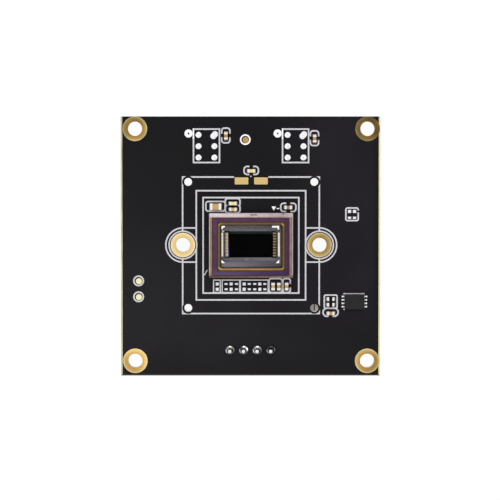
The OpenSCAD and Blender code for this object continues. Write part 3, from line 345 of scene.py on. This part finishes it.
contact_gold, *_ = coated(
    "contact_gold", (1.0, 0.78, 0.36), (0.86, 0.58, 0.20), patch=0.9, grain=0.1,
    glossy=0.34, dull=0.48, depth=0.006, edge=0.02, Metallic=0.6,
)
dress(contact_gold, "contact_pads")
probe_gold, tree, coat = coated(
    "test_point_gold", (1.0, 0.98, 0.58), (0.90, 0.86, 0.46), patch=0.5, grain=0.08,
    glossy=0.36, dull=0.5, depth=0.006, edge=0.02, Metallic=0.3,
)
# The point in the upper half is brown
_, up, _ = parts(tree, point(tree))
darkened = ramp(tree, up, 0, 10 * mm)
supply(tree, "Base Color", blend(tree, darkened, coat["Color"], (0.56, 0.33, 0.10)))
dress(probe_gold, "test_pads")


# ---- Printed legend
# Matt epoxy ink, screen-printed over the mask on both faces. It is thin enough for its edges to
# look a little grey against the black.

ink, tree, coat = coated(
    "legend_ink", (0.64, 0.63, 0.665), (0.54, 0.53, 0.565), patch=0.5, grain=0.07,
    glossy=0.5, dull=0.72, depth=0.008, Specular_IOR_Level=0.35,
)
# Small solid marks hold a thicker, whiter coat: the middle and the reach of each, in millimetres
solid_marks = (
    (-9.16, 16.31, 0.8, 0.8), (3.86, 16.31, 0.8, 0.8), (-0.87, 15.41, 1.0, 1.0),
    (3.6, 5.34, 0.6, 0.4),
)
place = point(tree)
full = 0.0
for x, y, reach_x, reach_y in solid_marks:
    off = vector(tree, "SUBTRACT", place, (x * mm, y * mm, 0))
    share = vector(tree, "DIVIDE", off, (reach_x * mm, reach_y * mm, 1))
    side_x, side_y, _ = parts(tree, vector(tree, "ABSOLUTE", share))
    near = number(tree, "LESS_THAN", number(tree, "MAXIMUM", side_x, side_y), 1.0)
    full = number(tree, "MAXIMUM", near, full)
supply(tree, "Base Color", blend(tree, full, coat["Color"], (0.93, 0.92, 0.955)))
dress(ink, "front_legend", "rear_legend")


# ---- Tinned lands and reflowed solder
# Solder paste melted on the copper: crowned on the microphone footprints, thin on the empty ones
# and on the lands of the fitted parts. Tin freezes bright with faint dendrites.

solder, *_ = coated(
    "bright_solder", (0.97, 0.97, 0.97), (0.88, 0.88, 0.88), patch=0.35, grain=0.05,
    glossy=0.28, dull=0.42, depth=0.004, edge=0.02, Metallic=0.2,
)
dress(solder, "spare_pads", "rear_chip_solder", "controller_solder")
fillet, tree, coat = coated(
    "fillet_solder", (0.95, 0.94, 0.92), (0.84, 0.83, 0.81), patch=0.3, grain=0.05,
    glossy=0.25, dull=0.4, depth=0.004, Metallic=0.4,
)
# A fillet's thin toe is darker
_, _, height = parts(tree, point(tree))
toe = ramp(tree, height, 0.22 * mm, 0.08 * mm)
supply(tree, "Base Color", blend(tree, toe, coat["Color"], (0.32, 0.31, 0.30)))
dress(fillet, "chip_solder")
paste, tree, coat = coated(
    "frosted_solder", (0.96, 0.96, 0.96), (0.87, 0.87, 0.87), patch=0.3, grain=0.05,
    glossy=0.4, dull=0.55, depth=0.006, edge=0.02, Metallic=0.4,
)
# The thin rim of each crown is darker, and its top is greyed as a painted reflection
crown_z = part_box("microphone_pads")[1].z
_, _, height = parts(tree, point(tree))
dark_rim = ramp(tree, height, 0.082 * mm, 0.052 * mm)
darkened = ramp(tree, height, crown_z - 0.007 * mm, crown_z - 0.002 * mm, 0.0, 0.45)
white = blend(tree, darkened, coat["Color"], (0.35, 0.35, 0.36))
supply(tree, "Base Color", blend(tree, dark_rim, white, (0.04, 0.038, 0.04)))
dress(paste, "microphone_pads")
tinned, *_ = coated(
    "tinned_land", (0.86, 0.86, 0.86), (0.70, 0.70, 0.71), patch=0.4, grain=0.06,
    glossy=0.3, dull=0.5, depth=0.006, Metallic=0.9,
)
dress(tinned, "rear_chip_lands", "sensor_lands", "crystal_lands", "controller_terminals")
dull_tin, *_ = coated(
    "dull_tin", (0.36, 0.36, 0.365), (0.24, 0.24, 0.245), patch=0.4, grain=0.06,
    glossy=0.3, dull=0.45, depth=0.004, Metallic=0.8,
)
dress(dull_tin, "chip_lands", "header_eyelets")


# ---- Image sensor package
# A leadless package of fired alumina in three layers. The rim is bare pale ceramic, and the
# glazed shelf inside carries the bond fingers. Castellations run down both short sides.

# How far inside (positive) or outside a rectangle a point lies, in plan, and how near a corner
inset, takes, gives = new_group(
    "inset_from_frame",
    [("Middle", "Vector", (0, 0, 0)), ("Half", "Vector", (1 * mm, 1 * mm, 0))],
    [("Inset", "Float"), ("Corner", "Float")],
)
away = vector(inset, "SUBTRACT", point(inset), takes["Middle"])
left = vector(inset, "SUBTRACT", takes["Half"], vector(inset, "ABSOLUTE", away))
side_x, side_y, _ = parts(inset, left)
feed(inset, gives["Inset"], number(inset, "MINIMUM", side_x, side_y))
feed(inset, gives["Corner"], number(inset, "MAXIMUM", side_x, side_y))


def frame_inset(tree, low, high):
    """The inset group fitted to a box."""
    middle = (low + high) / 2
    half = (high - low) / 2
    return use(tree, inset, Middle=(middle.x, middle.y, 0), Half=(half.x, half.y, 0))


def from_middle(tree, value, middle):
    """How far a value is from a middle one, on either side."""
    return number(tree, "ABSOLUTE", number(tree, "SUBTRACT", value, middle))


ceramic_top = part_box("sensor_package")[1].z
ring_low, ring_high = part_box("seal_ring")
ring_band = Vector((0.28, 0.28, 0)) * mm
alumina, tree, coat = coated(
    "pale_alumina", (1.0, 1.0, 1.0), (0.72, 0.70, 0.69), patch=0.7, grain=0.06,
    glossy=0.42, dull=0.58, depth=0.006, edge=0.05, Specular_IOR_Level=0.35,
)
place = point(tree)
across, up, height = parts(tree, place)
# Painted light and shade: the rim is pale along the microphone edge, brown and darker elsewhere
upper_side, lower_side = 3.9 * mm, -4.1 * mm
left_to_right = ramp(tree, across, -5 * mm, 5 * mm)
sides = blend(tree, ramp(tree, across, -1 * mm, 1 * mm), (0.32, 0.20, 0.12), (0.25, 0.17, 0.145))
low = blend(tree, left_to_right, (0.115, 0.070, 0.054), (0.20, 0.13, 0.11))
high = blend(tree, left_to_right, (0.80, 0.67, 0.68), (0.50, 0.39, 0.39))
rim_tone = blend(tree, ramp(tree, up, lower_side, lower_side - 0.5 * mm), sides, low)
rim_tone = blend(tree, ramp(tree, up, upper_side, upper_side + 0.4 * mm), rim_tone, high)
# A painted highlight runs along its outer edge all round but along the lower side
outer = frame_inset(tree, *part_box("sensor_package"))
edge_highlight = times(
    tree, ramp(tree, outer["Inset"], 0.16 * mm, 0.06 * mm, 0.0, 0.9),
    ramp(tree, up, lower_side - 0.5 * mm, lower_side - 0.2 * mm),
)
rim_tone = blend(tree, edge_highlight, rim_tone, (0.50, 0.49, 0.515))
# Resin crept out beside the seal along the upper side
beside_seal = frame_inset(tree, *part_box("sensor_seal"))
resin_line = times(
    tree, ramp(tree, beside_seal["Inset"], -0.12 * mm, -0.02 * mm, 0.0, 0.7),
    ramp(tree, up, upper_side, upper_side + 0.2 * mm),
)
rim_tone = blend(tree, resin_line, rim_tone, (0.17, 0.085, 0.10))
# Two chipped streaks in that side show brown: the middle and the reach of each, in millimetres
chips = ((0.35, 4.44, 0.72, 0.12), (4.65, 4.58, 0.24, 0.11))
drawn_out = put(tree, "ShaderNodeMapping", {"Vector": place, "Scale": (3500, 9000, 1000)})
broken = ramp(tree, noise(tree, drawn_out.outputs[0], 1.0, 2.0), 0.38, 0.52, 0.5, 1.0)
for x, y, reach_x, reach_y in chips:
    along = ramp(tree, from_middle(tree, across, x * mm), reach_x * mm, reach_x / 2 * mm)
    athwart = ramp(tree, from_middle(tree, up, y * mm), reach_y * mm, reach_y / 2 * mm)
    rim_tone = blend(tree, times(tree, along, athwart, broken), rim_tone, (0.10, 0.035, 0.035))
rim = blend(tree, 1.0, rim_tone, coat["Color"], how="MULTIPLY")
# The glazed shelf's lower band is darker towards the right as a painted reflection
inside_ring = frame_inset(tree, ring_low + ring_band, ring_high - ring_band)
low_glaze = blend(
    tree, ramp(tree, across, 6 * mm, -5 * mm), (0.018, 0.016, 0.018), (0.125, 0.112, 0.122)
)
glaze = blend(tree, ramp(tree, up, -2.0 * mm, -2.9 * mm), (0.062, 0.057, 0.061), low_glaze)
# Painted shadow darkens the shelf along the cavity's wall
wall_shadow = ramp(tree, inside_ring["Inset"], 0.24 * mm, 0.05 * mm)
glaze = blend(tree, wall_shadow, glaze, (0.008, 0.008, 0.009))
sunk = ramp(tree, height, ceramic_top - 0.02 * mm, ceramic_top - 0.06 * mm)
within = ramp(tree, inside_ring["Inset"], -0.05 * mm, 0.0)
supply(tree, "Base Color", blend(tree, times(tree, sunk, within), rim, glaze))
dress(alumina, "sensor_package")


# ---- Seal, cover glass and gilded ring
# Violet sealing resin holds the coated cover glass on the rim, outside a ring of gold that was
# plated for a solder lid. The glass is coated on both faces, so it mirrors little.

seal, tree, coat = coated(
    "violet_seal_resin", (0.185, 0.094, 0.188), (0.120, 0.056, 0.130), patch=1.6, grain=0.2,
    glossy=0.3, dull=0.42, depth=0.004,
)
across, up, _ = parts(tree, point(tree))
edge = frame_inset(tree, *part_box("sensor_seal"))
from_ring = frame_inset(tree, ring_low, ring_high)
# Bluer below as a painted reflection, darker at the right as painted shade, brown along both edges
brown = number(
    tree, "MAXIMUM", ramp(tree, edge["Inset"], 0.22 * mm, 0.05 * mm),
    ramp(tree, from_ring["Inset"], -0.22 * mm, -0.05 * mm),
)
low = blend(
    tree, ramp(tree, across, -4 * mm, 3.5 * mm), (0.18, 0.125, 0.27), (0.095, 0.050, 0.165)
)
seal_reflection = blend(tree, ramp(tree, up, -3.0 * mm, -4.5 * mm), coat["Color"], low)
seal_shaded = blend(tree, ramp(tree, across, 4.4 * mm, 5.6 * mm, 0.0, 0.6), seal_reflection, (0.062, 0.028, 0.10))
supply(tree, "Base Color", blend(tree, brown, seal_shaded, (0.115, 0.042, 0.034)))
dress(seal, "sensor_seal")

lid_gold, tree, coat = coated(
    "olive_lid_gold", (0.62, 0.45, 0.17), (0.44, 0.31, 0.09), patch=0.8, grain=0.08,
    glossy=0.34, dull=0.46, depth=0.005, Metallic=1.0,
)
# A painted reflection brightens the lower side, and the corners are brighter
_, up, _ = parts(tree, point(tree))
corner = ramp(tree, frame_inset(tree, ring_low, ring_high)["Corner"], 0.6 * mm, 0.25 * mm)
pale = blend(tree, ramp(tree, up, -3.2 * mm, -3.5 * mm), coat["Color"], (0.80, 0.61, 0.24))
supply(tree, "Base Color", blend(tree, corner, pale, (0.85, 0.72, 0.16)))
dress(lid_gold, "seal_ring")

# Light passes through the glass without being bent into bright patches
glass, tree, shader = new_finish(
    "coated_cover_glass", Base_Color=(0.97, 0.975, 1.0, 1), Roughness=0.0,
    Transmission_Weight=1.0, IOR=1.13,
)
clear = put(tree, "ShaderNodeBsdfTransparent", {"Color": (0.97, 0.97, 1.0, 1)})
casting = tree.nodes.new("ShaderNodeLightPath").outputs["Is Shadow Ray"]
shaded = put(
    tree, "ShaderNodeMixShader", {0: casting, 1: shader.outputs[0], 2: clear.outputs[0]}
)
feed(tree, tree.nodes["Material Output"].inputs["Surface"], shaded.outputs[0])
dress(glass, "cover_glass")


# ---- Sensor die, light-sensitive array and bonding
# The silicon die lies in the package's pocket. Gold wires loop from its pads to the fingers on
# the shelf, and white marks in the shelf's corners line the die up.

array_low, array_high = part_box("pixel_array")
array_middle = (array_low + array_high) / 2
silicon, tree, coat = coated(
    "die_silicon", (0.20, 0.195, 0.21), (0.12, 0.118, 0.13), patch=1.2, grain=0.05,
    glossy=0.18, dull=0.3, depth=0.002, Metallic=0.5,
)
# The two ends are near black up to the rows of pads, with a painted blue glint by the left row
across, up, _ = parts(tree, point(tree))
beside_array = times(
    tree, ramp(tree, from_middle(tree, across, array_middle.x), 2.98 * mm, 3.1 * mm),
    ramp(tree, from_middle(tree, up, array_middle.y), 2.05 * mm, 1.9 * mm),
)
blue_glint = times(
    tree, band(tree, across, -3.36 * mm, -3.30 * mm, -3.2 * mm, -3.12 * mm),
    band(tree, up, -1.6 * mm, -1.3 * mm, -0.6 * mm, -0.2 * mm),
)
dark = blend(tree, beside_array, coat["Color"], (0.004, 0.0035, 0.004))
supply(tree, "Base Color", blend(tree, blue_glint, dark, (0.020, 0.014, 0.50)))
dress(silicon, "sensor_die")
die_resin, *_ = coated(
    "die_bonding_resin", (0.070, 0.062, 0.062), (0.050, 0.045, 0.046), patch=0.3, grain=0.04,
    glossy=0.35, dull=0.55, depth=0.006,
)
dress(die_resin, "die_adhesive")

light_cells, tree, coat = coated(
    "pixel_array_black", (0.0005, 0.0006, 0.0006), (0.0003, 0.0003, 0.0003), patch=2, grain=0.05,
    glossy=0.3, dull=0.36, depth=0.001, Specular_IOR_Level=0.02,
)
# Covered rows that never see light run just inside the upper edge
_, up, _ = parts(tree, point(tree))
below_top = number(tree, "SUBTRACT", array_high.y, up)
covered_rows = band(tree, below_top, 0.1 * mm, 0.16 * mm, 0.32 * mm, 0.4 * mm)
supply(tree, "Base Color", blend(tree, covered_rows, coat["Color"], (0.0100, 0.0145, 0.0125)))
dress(light_cells, "pixel_array")

bond_gold, tree, coat = coated(
    "bond_gold", (1.0, 0.88, 0.66), (0.90, 0.72, 0.46), patch=0.3, grain=0.03,
    glossy=0.3, dull=0.45, depth=0.002, Metallic=0.7,
)
# Painted glints of the bond balls bead the rows at every second pad, starkest in the right row
bead_pitch = 0.42 * mm
across, up, _ = parts(tree, point(tree))
beat = number(tree, "SINE", times(tree, up, 2 * math.pi / bead_pitch))
beads = ramp(tree, beat, -0.6, 0.6)
right_tone = blend(tree, beads, (0.10, 0.055, 0.020), (0.62, 0.43, 0.15))
left_tone = blend(tree, times(tree, beads, 0.45), coat["Color"], (0.62, 0.34, 0.14))
right_row = number(tree, "GREATER_THAN", across, 0.0)
supply(tree, "Base Color", blend(tree, right_row, left_tone, right_tone))
dress(bond_gold, "die_bond_pads")
# The wires are coloured dark as painted shade where they cross the gap between the rows
shaded_wire_gold, *_ = coated(
    "bond_wire_gold", (0.16, 0.11, 0.055), (0.10, 0.065, 0.03), patch=0.3, grain=0.03,
    glossy=0.3, dull=0.4, depth=0.001, Metallic=1.0,
)
dress(shaded_wire_gold, "bond_wires")
finger_plate, tree, coat = coated(
    "bond_finger_plate", (0.92, 0.89, 0.74), (0.82, 0.78, 0.62), patch=0.3, grain=0.03,
    glossy=0.4, dull=0.55, depth=0.002, Metallic=0.2,
)
# Their inner ends are darkened with painted shade, in the gap by the die
finger_low, finger_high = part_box("bond_fingers")
finger_middle = (finger_low.x + finger_high.x) / 2
finger_half = (finger_high.x - finger_low.x) / 2
across, _, _ = parts(tree, point(tree))
off_middle = from_middle(tree, across, finger_middle)
from_outside = number(tree, "SUBTRACT", finger_half, off_middle)
gap_shade = ramp(tree, from_outside, 0.24 * mm, 0.28 * mm)
supply(tree, "Base Color", blend(tree, gap_shade, coat["Color"], (0.10, 0.07, 0.05)))
dress(finger_plate, "bond_fingers")
mark_print, *_ = coated(
    "shelf_mark_white", (0.95, 0.95, 0.97), (0.86, 0.86, 0.88), patch=0.3, grain=0.03,
    glossy=0.4, dull=0.55, depth=0.002,
)
dress(mark_print, "shelf_marks")


# ---- Ceramic capacitors
# Blocks of fired titanate ceramic with dipped and tin-plated ends. Each value is fired from its
# own mix, so neighbours differ from grey-tan to orange. The rear ones are the same parts.

body_middle_z = 0.3 * mm


def fired(name, light, dark, chosen=()):
    """Matt ceramic in one tone, or in a chosen tone within reach of each place given."""
    material, tree, coat = coated(
        name, light, dark, patch=0.5, grain=0.04, glossy=0.42, dull=0.6, depth=0.006, edge=0.035,
        Specular_IOR_Level=0.4,
    )
    tone = coat["Color"]
    place = point(tree)
    for x, y, colour in chosen:
        gap = vector(tree, "DISTANCE", place, (x * mm, y * mm, body_middle_z))
        grain = blend(tree, coat["Height"], (0.82, 0.82, 0.82), (1.1, 1.1, 1.1))
        tinted = blend(tree, 1.0, colour, grain, how="MULTIPLY")
        tone = blend(tree, ramp(tree, gap, 0.60 * mm, 0.55 * mm), tone, tinted)
    supply(tree, "Base Color", tone)
    return material


umber = (0.46, 0.26, 0.095)
yellow = (0.82, 0.64, 0.17)
orange_tan = (0.54, 0.30, 0.10)
# The middle of each front body, in millimetres, and its tone
front_values = [
    (-3.7, 15.96, (0.50, 0.24, 0.04)),
    (9.26, 15.56, umber),
    (0, 10.85, yellow),
    (-2.68, 6.09, (0.88, 0.74, 0.20)),
    (-2.68, 5.21, (0.62, 0.44, 0.20)),
    (5.40, 5.51, (0.32, 0.22, 0.11)),
    (3.2, -6.06, (0.60, 0.40, 0.18)),
    (4.04, -6.06, (0.50, 0.29, 0.13)),
    (5.18, -6.06, orange_tan),
    (11.65, -10.01, orange_tan),
]
front_ceramic = fired("capacitor_ceramic", (0.55, 0.37, 0.20), (0.46, 0.30, 0.15), front_values)
dress(front_ceramic, "capacitor_bodies")
bulk_ceramic = fired("bulk_ceramic", (0.54, 0.37, 0.16), (0.44, 0.29, 0.12))
dress(bulk_ceramic, "bulk_capacitor_body")
rear_ceramic = fired("rear_ceramic", (0.52, 0.35, 0.18), (0.42, 0.27, 0.14))
dress(rear_ceramic, "rear_capacitor_bodies", "rear_bulk_bodies")
end_tin, *_ = coated(
    "end_cap_tin", (0.97, 0.94, 0.88), (0.84, 0.81, 0.75), patch=0.3, grain=0.05,
    glossy=0.36, dull=0.52, depth=0.004, edge=0.02, Metallic=0.2,
)
dress(
    end_tin, "capacitor_ends", "bulk_capacitor_ends", "resistor_ends", "rear_capacitor_ends",
    "rear_bulk_ends", "rear_resistor_ends",
)


# ---- Resistors
# Alumina chips with a printed resistive film under a black overglaze. Their ends are dipped and
# tinned as the capacitors' are, and share that finish.

overglaze, *_ = coated(
    "resistor_overglaze", (0.006, 0.006, 0.006), (0.003, 0.003, 0.003), patch=0.4, grain=0.05,
    glossy=0.3, dull=0.45, depth=0.004, edge=0.02, Specular_IOR_Level=0.15,
)
dress(overglaze, "resistor_bodies", "rear_resistor_bodies")


# ---- Moulded chips
# Black filled epoxy: the memory chip on the front, and the controller, the flash memory and the
# regulators on the rear. The moulding has a fine even texture from its tool, and the terminals
# and leads are tinned copper.

moulding, *_ = coated(
    "chip_moulding", (0.0185, 0.0165, 0.0180), (0.0100, 0.0088, 0.0102), patch=1.5, grain=0.05,
    glossy=0.42, dull=0.6, depth=0.005, edge=0.04, Specular_IOR_Level=0.25,
)
dress(moulding, "memory_chip", "controller_chip", "flash_chip", "regulator_bodies")
bead_tin, *_ = coated(
    "bead_tin", (0.86, 0.86, 0.86), (0.70, 0.70, 0.70), patch=0.3, grain=0.05,
    glossy=0.3, dull=0.45, depth=0.004, edge=0.02, Metallic=0.2,
)
dress(bead_tin, "memory_terminals")
lead_tin, *_ = coated(
    "lead_tin", (0.84, 0.84, 0.85), (0.70, 0.70, 0.72), patch=0.4, grain=0.05,
    glossy=0.28, dull=0.45, depth=0.005, edge=0.03, Metallic=1.0,
)
dress(lead_tin, "flash_leads", "regulator_leads")


# ---- Header
# Four tinned pins wave-soldered in plated holes. On the rear they stand in a housing of white
# nylon, moulded in one shot, with a keyed shroud that opens away from the board.

joint, tree, coat = coated(
    "wave_solder_joint", (0.13, 0.125, 0.135), (0.07, 0.068, 0.073), patch=0.8, grain=0.12,
    glossy=0.13, dull=0.22, depth=0.004, Metallic=1.0,
)
# Painted highlights brighten each joint's upper and some sideways faces; the last froze dull all
# over
across, _, _ = parts(tree, point(tree))
faces_right, faces_up, _ = outward(tree)
past_first = ramp(tree, across, -2.4 * mm, -2.0 * mm)
sideways = number(
    tree, "SUBTRACT", ramp(tree, across, -2.4 * mm, -2.0 * mm, -0.2, 0.9),
    ramp(tree, across, -0.4 * mm, 0.0),
)
highlit_facing = number(tree, "ADD", faces_up, times(tree, faces_right, sideways))
bright = blend(tree, past_first, (0.80, 0.79, 0.62), (0.84, 0.83, 0.85))
highlighted = blend(tree, ramp(tree, highlit_facing, 0.08, 0.6), coat["Color"], bright)
cold = ramp(tree, across, 1.8 * mm, 2.0 * mm)
supply(tree, "Base Color", blend(tree, cold, highlighted, (0.055, 0.053, 0.056)))
dress(joint, "header_solder")
pin_tin, tree, coat = coated(
    "sheared_pin_tin", (0.42, 0.42, 0.42), (0.32, 0.32, 0.32), patch=0.3, grain=0.05,
    glossy=0.25, dull=0.4, depth=0.003, Metallic=0.3,
)
# The sheared tips of the pins are frosted bare metal, painted white as a highlight; their sides
# are plain tin
tip_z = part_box("header_pins")[1].z
_, _, height = parts(tree, point(tree))
tip = ramp(tree, height, tip_z - 0.08 * mm, tip_z - 0.03 * mm)
supply(tree, "Base Color", blend(tree, tip, coat["Color"], (0.97, 0.97, 0.97)))
dress(pin_tin, "header_pins")
nylon, *_ = coated(
    "white_nylon", (0.84, 0.81, 0.73), (0.78, 0.75, 0.66), patch=2.0, grain=0.12,
    glossy=0.36, dull=0.5, depth=0.006, edge=0.12, Subsurface_Weight=0.15,
    Subsurface_Radius=(1.0 * mm, 0.8 * mm, 0.5 * mm), Subsurface_Scale=1.0,
)
dress(nylon, "header_housing")


# ---- Crystal
# A quartz blank in a boat of fired ceramic. A nickel-plated lid is seam-welded on top, and the
# boat is soldered down by its lands.

boat, *_ = coated(
    "crystal_boat", (0.42, 0.38, 0.32), (0.34, 0.30, 0.25), patch=0.6, grain=0.05,
    glossy=0.45, dull=0.6, depth=0.005, edge=0.04,
)
dress(boat, "crystal_base")
lid_nickel, *_ = coated(
    "crystal_lid_nickel", (0.76, 0.74, 0.70), (0.62, 0.60, 0.57), patch=0.8, grain=0.03,
    glossy=0.22, dull=0.36, depth=0.003, edge=0.03, Metallic=1.0,
)
dress(lid_nickel, "crystal_lid")


# ---- Power inductors
# Drums of pressed and sintered ferrite, wound with enamelled copper wire whose ends are welded to
# tinned feet.

ferrite, *_ = coated(
    "sintered_ferrite", (0.085, 0.082, 0.080), (0.055, 0.053, 0.052), patch=0.6, grain=0.06,
    glossy=0.4, dull=0.62, depth=0.012, edge=0.08,
)
dress(ferrite, "inductor_cores")
enamel, *_ = coated(
    "enamelled_copper", (0.66, 0.28, 0.09), (0.46, 0.17, 0.05), patch=0.5, grain=0.08,
    glossy=0.22, dull=0.36, depth=0.004, Metallic=0.85, Coat_Weight=0.5, Coat_Roughness=0.15,
)
dress(enamel, "inductor_coils")
foot_tin, *_ = coated(
    "inductor_foot_tin", (0.98, 0.97, 0.94), (0.88, 0.87, 0.84), patch=0.4, grain=0.05,
    glossy=0.3, dull=0.45, depth=0.004, edge=0.03, Metallic=0.1,
)
dress(foot_tin, "inductor_terminals")


# ---- Floor and light
# A white sweep under soft, even studio light. Straight above it is darker, as it is where the
# camera stands, so bright metal shows a dark middle between light sides.

mesh = bpy.data.meshes.new("floor")
sweep = bmesh.new()
bmesh.ops.create_grid(sweep, x_segments=1, y_segments=1, size=3.0)
bmesh.ops.translate(sweep, verts=sweep.verts, vec=(0, 0, cad_box[0][2]))
sweep.to_mesh(mesh)
sweep.free()
floor = bpy.data.objects.new("floor", mesh)
bpy.context.scene.collection.objects.link(floor)
# The paper glows white to the eye, in gloss and through glass, and lights the part as grey paper
material, tree, shader = new_finish(
    "white_sweep", Base_Color=(0.8, 0.8, 0.8, 1), Roughness=0.9, Specular_IOR_Level=0.1
)
path = tree.nodes.new("ShaderNodeLightPath").outputs
mirrored = number(tree, "MAXIMUM", path["Is Glossy Ray"], path["Is Transmission Ray"])
seen = number(tree, "MAXIMUM", path["Is Camera Ray"], mirrored)
glow = put(tree, "ShaderNodeEmission", {"Color": (1, 1, 1, 1), "Strength": 0.94})
paper = put(tree, "ShaderNodeBsdfDiffuse", {"Color": (0.10, 0.10, 0.10, 1)})
lit = put(tree, "ShaderNodeAddShader", {0: glow.outputs[0], 1: paper.outputs[0]})
choice = put(tree, "ShaderNodeMixShader", {0: seen, 1: shader.outputs[0], 2: lit.outputs[0]})
feed(tree, tree.nodes["Material Output"].inputs["Surface"], choice.outputs[0])
floor.data.materials.append(material)

world = bpy.data.worlds.new("studio")
bpy.context.scene.world = world
world.use_nodes = True
tree = world.node_tree
_, _, climb = parts(tree, tree.nodes.new("ShaderNodeTexCoord").outputs["Generated"])
overhead = ramp(tree, climb, 0.80, 0.975)
sky = blend(tree, overhead, (0.62, 0.62, 0.63), (0.10, 0.10, 0.105))
path = tree.nodes.new("ShaderNodeLightPath").outputs
backdrop = blend(tree, path["Is Camera Ray"], sky, (1, 1, 1))
feed(tree, tree.nodes["Background"].inputs["Color"], backdrop)


def softbox(name, place, size, watts):
    """A square area lamp that faces the board's middle."""
    lamp = bpy.data.lights.new(name, "AREA")
    lamp.shape = "SQUARE"
    lamp.size = size
    lamp.energy = watts
    lamp.color = (1.0, 0.995, 0.985)
    holder = bpy.data.objects.new(name, lamp)
    bpy.context.scene.collection.objects.link(holder)
    holder.location = place
    holder.rotation_euler = (-Vector(place)).to_track_quat("-Z", "Y").to_euler()


softbox("left_softbox", (-0.26, -0.12, 0.30), 0.22, 0.75)
softbox("right_softbox", (0.28, 0.02, 0.26), 0.22, 0.40)
softbox("far_softbox", (0.02, 0.30, 0.24), 0.20, 0.35)


# ---- Camera
# A long lens almost straight above the board, leant a little towards its microphone edge, and
# far enough away for the board to look square.

aim = Vector((-0.18, -0.73, 0)) * mm
distance = 0.36
lean = math.radians(2.4)
shown_width = 73.2 * mm
sensor_width = 36
camera_data = bpy.data.cameras.new("camera")
camera_data.sensor_width = sensor_width
camera_data.lens = sensor_width * distance / shown_width
camera_data.clip_start = 0.01
camera_data.clip_end = 20
camera = bpy.data.objects.new("camera", camera_data)
bpy.context.scene.collection.objects.link(camera)
camera.location = aim + distance * Vector((0, math.sin(lean), math.cos(lean)))
camera.rotation_euler = (-lean, 0, 0)
bpy.context.scene.camera = camera
bpy.context.scene.view_settings.view_transform = "Standard"
